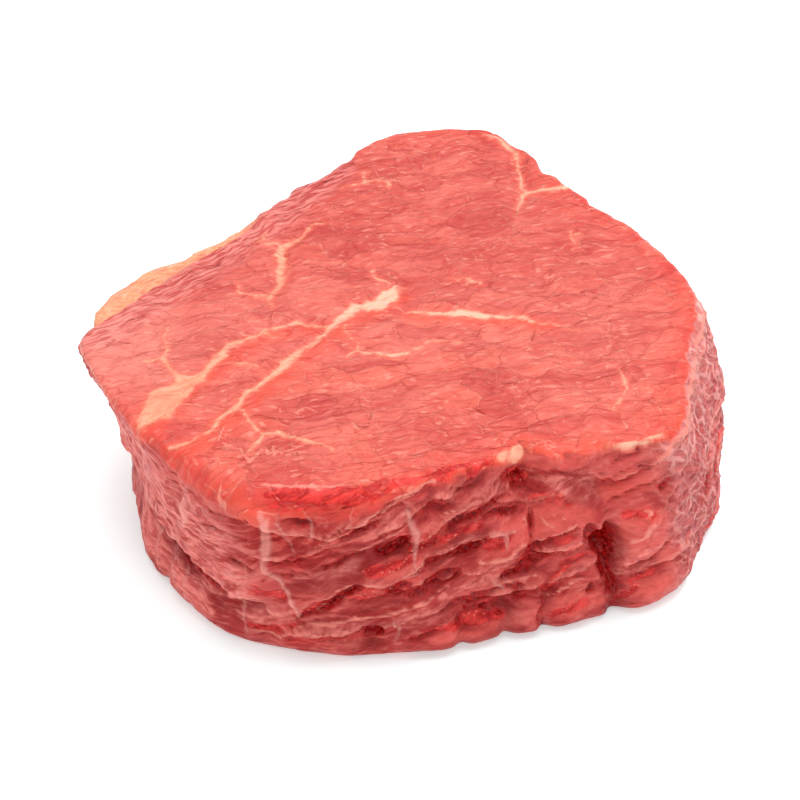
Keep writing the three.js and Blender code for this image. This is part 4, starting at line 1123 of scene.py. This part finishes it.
def dress_wall(surface):
    """Relief and marks of the side. Returns the points that it marks, and the marks."""
    points = surface.points
    part = np.flatnonzero(surface.row >= 0)
    angle, z = surface.angle[part], surface.level[part]
    below, rows = surface.below[part], surface.row[part]
    place = wall_place(angle, z)
    leaned = z - lean(angle, z)
    strength = ease(0, ROLL_ROWS, rows) * ease(0, 2.0, z)
    radial = outward(angle)
    across, facing = radial[:, 0], -radial[:, 1]
    in_view = ease(0.25, 0.6, facing)
    stands, facing = surface.stands[part], np.maximum(facing, 0.5)
    seen = points[part, 2] - SEEN_TILT * in_view * stands / facing
    seen_angle = angle + np.degrees(in_view * stands / MEAN_RADIUS * across / facing)
    begins, ends = RIGHT_SIDE
    right = np.where(angle > 180, ease(*begins, angle + 0.12 * (z - 16)), ease(*ends, angle))
    left = within(LEFT_SIDE, angle, angle + 0.5 * (z - 18))
    upper_left = left * ease(10.0, 13.5, z + 0.23 * (angle - 228)) * ease(2.5, 5.0, below)
    cap = within(FAT_SHELF, angle)

    crest, shade, wet = lip_marks(angle, z)
    thick, thick_edge, thick_gap = shingles(angle, z, 3.2, 170)
    thin, _, thin_gap = shingles(angle, z, 1.45, 180)
    smooth = np.clip(right + 0.8 * upper_left, 0, 1)
    wobble = (0.5 * shifts(place, 2.4, 201) + 0.22 * shifts(place, 1.0, 203)) * [1, 0.7]
    inside = {}
    for kind, lines in (("groove", GROOVES), ("wet", WETS), ("film", FILMS), ("crest", CRESTS)):
        inside[kind] = wall_strokes(lines + hidden_strokes(kind), seen_angle, seen, wobble)
    inside["groove"] = np.maximum(inside["groove"], 1.2 * (1.1 - off_centre(angle, z, PIT)))
    fresh = ease(-0.9, 0.5, wall_strokes(FRESH, seen_angle, seen, wobble))
    shaded = ease(-1.2, 0.8, wall_strokes(SHADES, seen_angle, seen, wobble))
    strand = wall_strokes(STRANDS, seen_angle, seen, 0.7 * wobble)

    fine = noise(np.column_stack([place[:, :2] / 2.4, leaned]), 1.3, 81)
    grit = ridges(np.column_stack([place[:, :2] / 1.3, leaned]), 1.2, 191)
    raw = np.clip(np.maximum(wet, ease(-0.6, 0.3, inside["wet"])), 0, 1) * (1 - smooth)
    net_gap = net_gaps(angle, z, below, place, right)
    patchy = 0.5 + 0.5 * ease(-0.5, 0.6, noise(place, 5, 117))
    film_pleats = ridges(np.column_stack([place[:, :2] / 5, z + 0.2 * noise(place, 3, 130)]), 1.3, 131)
    tip_pleats = ridges(np.column_stack([place[:, :2], z / 6]), 1.6, 133) * bell(turn_to(angle, 196) / 12)
    ragged = bell((below - 0.6) / 1.6) * (0.5 * noise(place, 2.6, 135) + 0.2 * noise(place, 1.3, 136))
    forms = {
        "thick": thick * (1 - 0.7 * smooth) * (1 - 0.4 * left) * (1 - 0.75 * fresh),
        "thin": thin * (1 - 0.5 * smooth) * (1 - 0.85 * fresh), "lumps": layered_noise(place, 4.5, 91),
        "fine": fine * (1 - fresh), "grit": grit * raw, "groove": ease(-0.45, 0.8, inside["groove"]),
        "crest": ease(-0.3, 0.2, inside["crest"]), "film": ease(-0.4, 0.4, inside["film"]),
        "net": right * bell(net_gap / 0.24) * patchy, "film pleats": upper_left * film_pleats,
        "tip pleats": tip_pleats * ease(10, 20, z), "strand": ease(-0.15, 0.3, strand),
        "ragged": ragged * (0.25 + 0.75 * within(FRONT_EDGE, angle)) * (1 - cap),
    }
    out = sum(WALL_RELIEF[name] * form for name, form in forms.items()) - 0.1 * raw - 0.06 * right
    out *= strength
    points[part, :2] += radial * out[:, None]

    reach = np.clip(closed_curve(EDGE_LOOK, angle, 2), 0.3, 6)
    border = below + 0.6 * noise(place, 2.2, 151) + 0.3 * noise(place, 0.9, 152)
    depth = 1 + (stands + out) / MEAN_RADIUS
    followed = np.column_stack([place[:, :2] * depth[:, None], leaned])
    surface.run[part] = followed + 0.7 * shifts(place, 4, 161, 3)
    calm = ease(ROLL_ROWS, ROLL_ROWS + 2, rows)
    broken = 0.7 * thick_edge * (1 - smooth) * calm
    cap_foot = z + 1.5 * noise(place, 6, 171) + 0.5 * noise(place, 2.2, 172)
    gaps = (0.6 * thick_gap + 0.3 * thin_gap) * (1 - 0.8 * smooth)
    return part, {
        # How deep a place lies in the wall: the material paints the wall darker there, as shade
        "side": ease(0.55, 1.25, border / reach), "cavity_shade": surface.relief[part] + 0.8 * out,
        "film": np.clip(0.5 * upper_left + ease(-0.5, 0.5, inside["film"]), 0, 1), "left_film": upper_left,
        # Near the top of the right side its film is paler, a painted sheen
        "webbed": right, "net": net_gap, "film_sheen": right * ease(11, 1, below + 1.5 * noise(place, 5, 174)),
        "strand": strand, "cap": cap * ease(0.05, 0.3, rows / ROLL_ROWS) * ease(24.0, 25.5, cap_foot),
        # crest, and pale on the next line: pale layer edges, partly painted highlight
        "crest": np.maximum(crest * calm, broken) * ease(0.1, -0.5, inside["groove"]),
        # cut_in and shade: grooves and undersides of lips, painted as shade
        "pale": inside["crest"], "cut_in": inside["groove"],
        "shade": np.clip(np.maximum(shade, gaps) * calm, 0, 1),
        "wet": np.clip(0.7 * wet * (1 - smooth), 0, 1), "raw": inside["wet"],
        "fresh": fresh, "shaded": shaded,
    }


def build_steak():
    surface = Surface()
    count = len(surface.points)
    surface.flow, surface.run = np.zeros((count, 3)), wall_place(surface.angle, surface.level)
    marks = {}
    for part, values in (dress_wall(surface), dress_top(surface)):
        for name, value in values.items():
            whole = marks.setdefault(name, np.full(count, UNMARKED.get(name, 0.0)))
            whole[part] = value
    marks["side"][surface.below >= THICKNESS] = 1
    mesh = bpy.data.meshes.new("steak_flesh")
    points = (surface.points + [*CENTRING, 0]) * MM
    faces = np.concatenate(surface.quads).tolist() + np.concatenate(surface.triangles).tolist()
    mesh.from_pydata(points.tolist(), [], faces)
    for name, value in marks.items():
        mesh.attributes.new(name, "FLOAT", "POINT").data.foreach_set("value", value.astype(np.float32))
    for name, value in (("flow", surface.flow), ("run", surface.run)):
        where = mesh.attributes.new(name, "FLOAT_VECTOR", "POINT")
        where.data.foreach_set("vector", value.astype(np.float32).ravel())
    mesh.shade_smooth()
    mesh.update()
    steak = bpy.data.objects.new("steak_flesh", mesh)
    bpy.context.scene.collection.objects.link(steak)
    return steak


def colour(name):
    """A named colour as the linear colour that a shader takes."""
    seen = [c / 255 for c in COLOURS[name]]
    return (*(c / 12.92 if c <= 0.04045 else ((c + 0.055) / 1.055) ** 2.4 for c in seen), 1.0)


class Nodes:
    """Short ways to add and join the nodes of one material."""

    def __init__(self, name):
        self.material = bpy.data.materials.new(name)
        self.material.use_nodes = True
        self.tree = self.material.node_tree
        self.shader = self.tree.nodes["Principled BSDF"]
        self.dimensions = "3D"

    def new(self, kind, **settings):
        node = self.tree.nodes.new("ShaderNode" + kind)
        for name, value in settings.items():
            setattr(node, name, value)
        return node

    def put(self, socket, value):
        """Joins a socket to a value, which is another socket, a number, or the name of a colour."""
        if isinstance(value, bpy.types.NodeSocket):
            self.tree.links.new(value, socket)
        else:
            socket.default_value = colour(value) if isinstance(value, str) else value

    def set(self, **settings):
        """Settings of the shader's own sockets."""
        for name, value in settings.items():
            self.shader.inputs[name.replace("_", " ")].default_value = value

    def math(self, operation, a, b):
        node = self.new("Math", operation=operation)
        self.put(node.inputs[0], a)
        self.put(node.inputs[1], b)
        return node.outputs[0]

    def chain(self, operation, values):
        total = values[0]
        for value in values[1:]:
            total = self.math(operation, total, value)
        return total

    def times(self, *values):
        return self.chain("MULTIPLY", values)

    def sum(self, *values):
        return self.chain("ADD", values)

    def most(self, *values):
        return self.chain("MAXIMUM", values)

    def less(self, a, b):
        return self.math("SUBTRACT", a, b)

    def swing(self, value, reach):
        """A texture's values, moved so that they lie about zero, times a reach."""
        return self.times(self.less(value, 0.5), reach)

    def mix(self, share, a, b):
        node = self.new("Mix", data_type="RGBA")
        for socket, value in ((0, share), (6, a), (7, b)):
            self.put(node.inputs[socket], value)
        return node.outputs[2]

    def mark(self, name):
        return self.new("Attribute", attribute_name=name).outputs["Fac"]

    def span(self, value, low, high, to_low=0.0, to_high=1.0):
        """A value from low to high as one from to_low to to_high, by a smooth step."""
        node = self.new("MapRange", interpolation_type="SMOOTHSTEP")
        for socket, item in zip(node.inputs, (value, low, high, to_low, to_high)):
            self.put(socket, item)
        return node.outputs[0]

    def along(self, name, stretch, turn=0):
        """Places that follow the run of the meat, in millimetres, drawn out by a stretch along each axis."""
        where = self.new("Attribute", attribute_name=name)
        facing, node = self.new("Mapping"), self.new("Mapping")
        self.put(facing.inputs[0], where.outputs["Vector"])
        facing.inputs["Rotation"].default_value = (0, 0, math.radians(turn))
        self.put(node.inputs[0], facing.outputs[0])
        node.inputs["Scale"].default_value = [1 / s for s in stretch]
        return node.outputs[0]

    def flow(self, stretch=1.0, turn=0):
        """Places on the cut face."""
        return self.along("flow", (stretch, 1, 1), turn)

    def run(self, around=1.0, up=1.0):
        """Places on the side."""
        return self.along("run", (around, around, up))

    def texture(self, kind, size, place, **settings):
        node = self.new("Tex" + kind, **settings)
        self.put(node.inputs["Vector"], place)
        node.inputs["Scale"].default_value = 1 / size
        return node

    def noise(self, size, detail, place):
        node = self.texture("Noise", size, place, noise_dimensions=self.dimensions)
        node.inputs["Detail"].default_value = detail
        return node.outputs["Fac"]

    def shaken(self, place, size, reach):
        """Places moved about by noise, by up to a reach in millimetres."""
        node = self.texture("Noise", size, place, noise_dimensions=self.dimensions)
        moved = self.new("VectorMath", operation="MULTIPLY_ADD")
        for socket, value in zip(moved.inputs, (node.outputs["Color"], (reach, reach, reach), place)):
            self.put(socket, value)
        return moved.outputs[0]

    def cells(self, size, place, feature="F1", output="Distance"):
        node = self.texture("Voronoi", size, place, voronoi_dimensions=self.dimensions, feature=feature)
        return node.outputs[output]

    def patches(self, size, place):
        """A random grey for each cell between the lines."""
        return self.cells(size, place, output="Color")

    def lines(self, size, half_width, place):
        """Thin lines between cells, 1 in the middle of a line."""
        return self.span(self.cells(size, place, "DISTANCE_TO_EDGE"), 0.0, half_width / size, 1.0, 0.0)

    def bump(self, height):
        """Relief from heights in millimetres."""
        node = self.new("Bump")
        node.inputs["Strength"].default_value = 1.0
        node.inputs["Distance"].default_value = MM
        self.put(node.inputs["Height"], height)
        return node.outputs[0]


def cut_face(n):
    """The cut face: bundles of fibres with thin dark borders, threads of fat, and faint streaks, pale flecks
    and threads that are partly painted glints.

    Returns its grain, its colour and its fine relief. Its places lie in a plane, so its textures are flat,
    which renders faster.
    """
    n.dimensions = "2D"
    broad = n.noise(9, 2, n.flow())
    grain = n.noise(1.1, 3, n.flow(1.5, FIBRE_TURN))
    streak = n.noise(0.5, 2, n.flow(4.0, FIBRE_TURN))
    patchy = n.noise(6.5, 2, n.flow(1, 40))
    pleat = n.noise(0.5, 2, n.flow(7.0, -38))
    bundles = n.shaken(n.flow(2.7, FIBRE_TURN), 1.6, 1.5)
    plots = n.shaken(n.flow(1.9, FIBRE_TURN), 3.0, 2.2)
    plot, plot_edge = n.patches(PLOT, plots), n.lines(PLOT, 0.09, plots)
    plot_groove = n.lines(PLOT, 0.2, plots)
    cracks = n.lines(3.4, 0.13, n.shaken(n.flow(3.6, -10), 1.3, 1.2))
    big_edge = n.times(n.lines(BUNDLE, 0.2, bundles), n.span(patchy, 0.36, 0.58, 0.1, 1.0))
    small_edge = n.times(n.lines(BUNDLE / 2, 0.14, bundles), n.span(patchy, 0.6, 0.44, 0.0, 0.8))
    # Pale flecks, partly painted glints
    fleck_glints = n.span(n.noise(0.75, 1, n.flow(2.8, FIBRE_TURN)), 0.62, 0.74)
    web = n.times(n.lines(1.9, 0.1, n.flow(1.8, -15)), n.span(n.noise(4.0, 2, n.flow()), 0.5, 0.62))
    # Pale threads, some of them painted glints
    tear = n.sum(n.mark("tear"), n.swing(grain, 0.6))
    thread_glint = n.sum(n.mark("thread_glint"), n.swing(grain, 0.25))
    rim_tone = n.mix(n.span(broad, 0.4, 0.6), "rim", "rim light")
    # Painted sheen on the pleats' ridges and painted shade in their furrows, following their relief
    pleat_sheen_and_shade = n.mix(n.span(pleat, 0.4, 0.62), "pleat shade", "pleat sheen")
    pleated = n.mark("pleated")

    cut = n.mix(n.span(broad, 0.35, 0.65), "cut", "cut warm")
    for share, tone in (
        (n.span(plot, 0.5, 0.75, 0.0, 0.7), "plot light"), (n.span(plot, 0.5, 0.25, 0.0, 0.65), "plot dark"),
        (n.times(n.mark("dark_side"), 0.6), "cut dull"),
        (n.span(n.patches(BUNDLE, bundles), 0.3, 0.75, 0.0, 0.42), "bundle light"),
        (n.span(n.patches(BUNDLE / 2, bundles), 0.5, 0.2, 0.0, 0.3), "bundle dark"),
        # Pale streaks, partly painted glints
        (n.span(streak, 0.48, 0.7, 0.0, 0.2), "streak"), (n.span(grain, 0.5, 0.3, 0.0, 0.28), "grain"),
        (n.times(n.mark("tip"), 0.5), "tip"),
        (n.times(n.mark("glow"), n.span(grain, 0.3, 0.7, 0.75, 0.5)), "glow"),
        (n.times(n.mark("rim"), n.span(grain, 0.3, 0.7, 0.9, 0.6)), rim_tone),
        (n.times(n.mark("groove"), 0.3), "groove"),
        (n.times(plot_edge, n.span(patchy, 0.42, 0.62, 0.05, 0.42)), "plot edge light"),
        (n.times(plot_edge, n.span(patchy, 0.54, 0.4, 0.0, 0.44)), "plot edge dark"),
        (n.times(big_edge, n.span(streak, 0.3, 0.6, 0.26, 0.1)), "big edge"),
        (n.times(cracks, n.span(patchy, 0.62, 0.45, 0.0, 0.34)), "crack"),
        (n.times(small_edge, 0.14), "small edge"),
        # Pale flecks and thread lines, partly painted glints
        (n.times(fleck_glints, n.span(broad, 0.35, 0.6, 0.12, 0.42)), "fleck glint"), (n.times(web, 0.22), "thread_glint"),
        (n.times(pleated, 0.55), pleat_sheen_and_shade),
        (n.span(tear, 0.35, 1.0, 0.0, 0.7), "tear"), (n.span(thread_glint, 0.12, 0.4, 0.0, 0.55), "thread_glint"),
    ):
        cut = n.mix(share, cut, tone)
    relief = n.sum(n.times(streak, 0.06), n.times(grain, 0.2), n.times(web, 0.08),
                   n.times(pleat, pleated, 0.32))
    relief = n.less(relief, n.times(n.sum(big_edge, cracks, n.times(small_edge, 0.5)), 0.07))
    relief = n.less(relief, n.times(plot_groove, 0.12))
    n.dimensions = "3D"
    return grain, cut, relief


def meat_material():
    n = Nodes("raw_beef")
    side, film, webbed, cavity_shade, strand, shaded, left_film, film_sheen = (n.mark(name) for name in (
        "side", "film", "webbed", "cavity_shade", "strand", "shaded", "left_film", "film_sheen"))
    grain, cut, on_face = cut_face(n)

    # Side: layers of flesh with painted shade in its hollows, and at the right a net of pale strands over
    # them
    layered = n.noise(0.95, 3, n.run(2.4, 0.8))
    fine = n.noise(0.5, 2, n.run(1.5))
    blotch = n.noise(5.0, 2, n.run(1.8))
    rough_in = n.swing(layered, 1.8)
    net = n.span(n.sum(n.mark("net"), n.swing(fine, 0.2)), 0.25, 0.07)
    webs = n.most(n.times(n.lines(1.2, 0.09, n.run(1.5)), 0.4), net)
    webs = n.times(webs, n.span(blotch, 0.36, 0.56, 0.4, 1.0))
    right = n.mix(n.span(layered, 0.36, 0.62), "right dark", "right light")
    # Painted sheen: the film near the top of the right side paler
    right = n.mix(n.times(film_sheen, n.span(fine, 0.3, 0.6, 0.3, 0.6)), right, "veil")
    right = n.mix(n.times(webs, n.span(film_sheen, 0, 1, 0.5, 0.75)), right, "net")
    wall = n.mix(n.span(blotch, 0.35, 0.65), "wall dark", "wall light")
    for share, tone in (
        (n.span(layered, 0.5, 0.66, 0.0, 0.5), "layer light"),
        (n.span(layered, 0.47, 0.33, 0.0, 0.55), "layer dark"),
        (n.times(n.mark("fresh"), n.span(fine, 0.3, 0.65, 0.75, 0.45)), "fresh"),
        # Painted shade: the wall darker and redder the deeper a place lies in it
        (n.span(cavity_shade, -0.2, -2.0, 0.0, 0.7), "cavity_shade"), (n.times(webbed, 0.95), right),
        (n.times(shaded, 0.55), "shaded"),
    ):
        wall = n.mix(share, wall, tone)

    # Marks that lie over both: wet red flesh, thin films, pale edges partly painted as highlight, dark
    # grooves and the undersides of lips painted as shade, painted glints, and strands
    raw = n.span(n.sum(n.mark("raw"), rough_in), -0.25, 0.4)
    raw = n.most(raw, n.span(n.sum(n.mark("wet"), n.times(rough_in, 0.3)), 0.1, 0.6, 0.0, 0.8))
    raw_tone = n.mix(n.span(layered, 0.4, 0.62), "raw dark", "raw light")
    veil = n.times(film, n.span(fine, 0.3, 0.6, 0.3, 0.75), n.less(1.0, n.times(raw, 0.6)),
                   n.span(shaded, 0, 1, 1.0, 0.55))
    film_tone = n.mix(n.span(layered, 0.38, 0.62), "film dark", "film light")
    ties = n.span(n.noise(1.3, 2, n.run(2.2, 0.7)), 0.52, 0.64)
    pale = n.span(n.sum(n.mark("pale"), n.times(rough_in, 0.4)), -0.2, 0.2)
    # Pale layer edges, partly painted highlight
    pale_and_lit_edges = n.most(n.times(n.mark("crest"), n.span(fine, 0.35, 0.6, 0.15, 0.6)), n.times(pale, 0.85))
    # Painted shade: dark red in the grooves and under the lips' edges
    dark = n.span(n.sum(n.mark("cut_in"), n.times(rough_in, 0.8)), -0.5, 0.4)
    dark = n.most(dark, n.times(n.mark("shade"), 0.8))
    groove_shade_tone = n.mix(n.span(fine, 0.38, 0.62), "deep", "deep light")
    # Painted glints: small pale spots on the wet flesh, kept out of the deepest hollows
    painted_glints = n.times(n.span(n.cells(0.6, n.run(1.4)), 0.3, 0.16), raw, side,
                     n.span(n.noise(0.9, 1, n.run()), 0.47, 0.56), n.span(cavity_shade, -2.4, -1.2))
    strip = n.span(n.sum(strand, n.times(rough_in, 0.2)), -0.3, 0.45)
    hem = n.span(strand, 0.3, 0.75, 1.0, 0.85)

    # Fat: strongest in the middle of a seam, and translucent where it is thin
    fat = n.mark("fat")
    ragged = n.sum(fat, n.swing(grain, 1.1))
    cap = n.times(n.mark("cap"), n.span(layered, 0.3, 0.55, 0.6, 1.0))
    in_fat = n.most(n.span(ragged, -0.25, 0.5), cap)
    light = n.span(fine, 0.35, 0.65)
    fat_tone = n.mix(n.span(n.sum(fat, fine), 0.3, 1.2), "fat thin", "fat pale")
    fat_tone = n.mix(n.times(n.mark("amber"), 0.85), fat_tone, n.mix(light, "amber", "amber light"))
    fat_tone = n.mix(n.span(fat, 1.5, 2.6, 0.0, 0.85), fat_tone, "fat deep")
    fat_tone = n.mix(cap, fat_tone, n.mix(light, "cap", "cap light"))

    flesh = n.mix(side, cut, wall)
    for share, tone in (
        (n.times(raw, 0.85), raw_tone), (veil, film_tone), (n.times(ties, left_film, side, 0.36), "tie"),
        (pale_and_lit_edges, "edge"), (n.times(dark, 0.95), groove_shade_tone), (n.times(painted_glints, 0.42), "glint"),
        (n.times(strip, hem, n.span(layered, 0.3, 0.6, 0.5, 0.8)), "strand"),
        (n.span(ragged, -1.0, 0.1, 0.0, 0.35), "haze"),
        (n.times(in_fat, 0.9, n.span(n.mark("tear"), 0.4, 1.0, 1.0, 0.0)), fat_tone),
    ):
        flesh = n.mix(share, flesh, tone)
    n.put(n.shader.inputs["Base Color"], flesh)

    wet = n.most(raw, dark)
    dry = n.most(n.times(n.most(film, webbed), side), in_fat)
    rough = n.sum(n.span(wet, 0.1, 0.8, 0.36, 0.14), n.times(dry, 0.12), n.span(fine, 0.35, 0.65, -0.04, 0.1))
    n.put(n.shader.inputs["Roughness"], rough)
    n.set(Subsurface_Weight=0.25, Subsurface_Radius=(1.0, 0.3, 0.2), Subsurface_Scale=1.4 * MM,
          Specular_IOR_Level=0.22, IOR=1.38)

    # Relief too fine for the mesh, in millimetres
    on_wall = n.times(n.sum(n.times(layered, 0.4), n.times(fine, 0.16)), n.span(strip, 0, 1, 1.0, 0.25),
                      n.span(webbed, 0, 1, 1.0, 0.35), n.span(left_film, 0, 1, 1.0, 0.6))
    on_wall = n.sum(on_wall, n.times(webs, webbed, 0.16), n.times(pale, 0.12),
                    n.times(n.cells(0.7, n.run()), wet, -0.3))
    height = n.sum(n.times(on_wall, side), n.times(on_face, n.less(1.0, side)))
    n.put(n.shader.inputs["Normal"], n.bump(height))
    return n.material


def build_floor():
    bpy.ops.mesh.primitive_plane_add(size=FLOOR_SIZE, location=(0, 0, 0))
    floor = bpy.context.object
    floor.name = "floor"
    n = Nodes("white_floor")
    n.set(Base_Color=(0.84, 0.92, 0.92, 1), Roughness=0.75, Specular_IOR_Level=0.2,
          Emission_Color=(0.88, 1, 1, 1), Emission_Strength=0.33)
    floor.data.materials.append(n.material)


def build_lights():
    world = bpy.data.worlds.new("studio")
    world.use_nodes = True
    background = world.node_tree.nodes["Background"]
    background.inputs["Color"].default_value = (1, 1, 1, 1)
    background.inputs["Strength"].default_value = WORLD_STRENGTH
    bpy.context.scene.world = world
    for name, place, size, power in LIGHTS:
        light = bpy.data.lights.new(name, "AREA")
        light.shape = "DISK"
        light.size = size
        light.energy = power
        lamp = bpy.data.objects.new(name, light)
        lamp.location = place
        lamp.rotation_euler = (Vector(LIGHT_AIM) - Vector(place)).to_track_quat("-Z", "Y").to_euler()
        bpy.context.scene.collection.objects.link(lamp)


def build_camera():
    camera = bpy.data.cameras.new("camera")
    camera.lens = CAMERA_LENS
    camera.sensor_width = CAMERA_SENSOR
    camera.clip_start = 0.01
    holder = bpy.data.objects.new("camera", camera)
    lift = math.radians(CAMERA_ELEVATION)
    away = Vector((0, -math.cos(lift), math.sin(lift))) * CAMERA_DISTANCE
    holder.location = (Vector(CAMERA_TARGET) + away) * MM
    holder.rotation_euler = (-away).to_track_quat("-Z", "Y").to_euler()
    bpy.context.scene.collection.objects.link(holder)
    bpy.context.scene.camera = holder


build_camera()
build_floor()
build_lights()
steak = build_steak()
steak.data.materials.append(meat_material())
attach(steak, "root")
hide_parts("steak")
bpy.context.scene.view_settings.view_transform = "Standard"
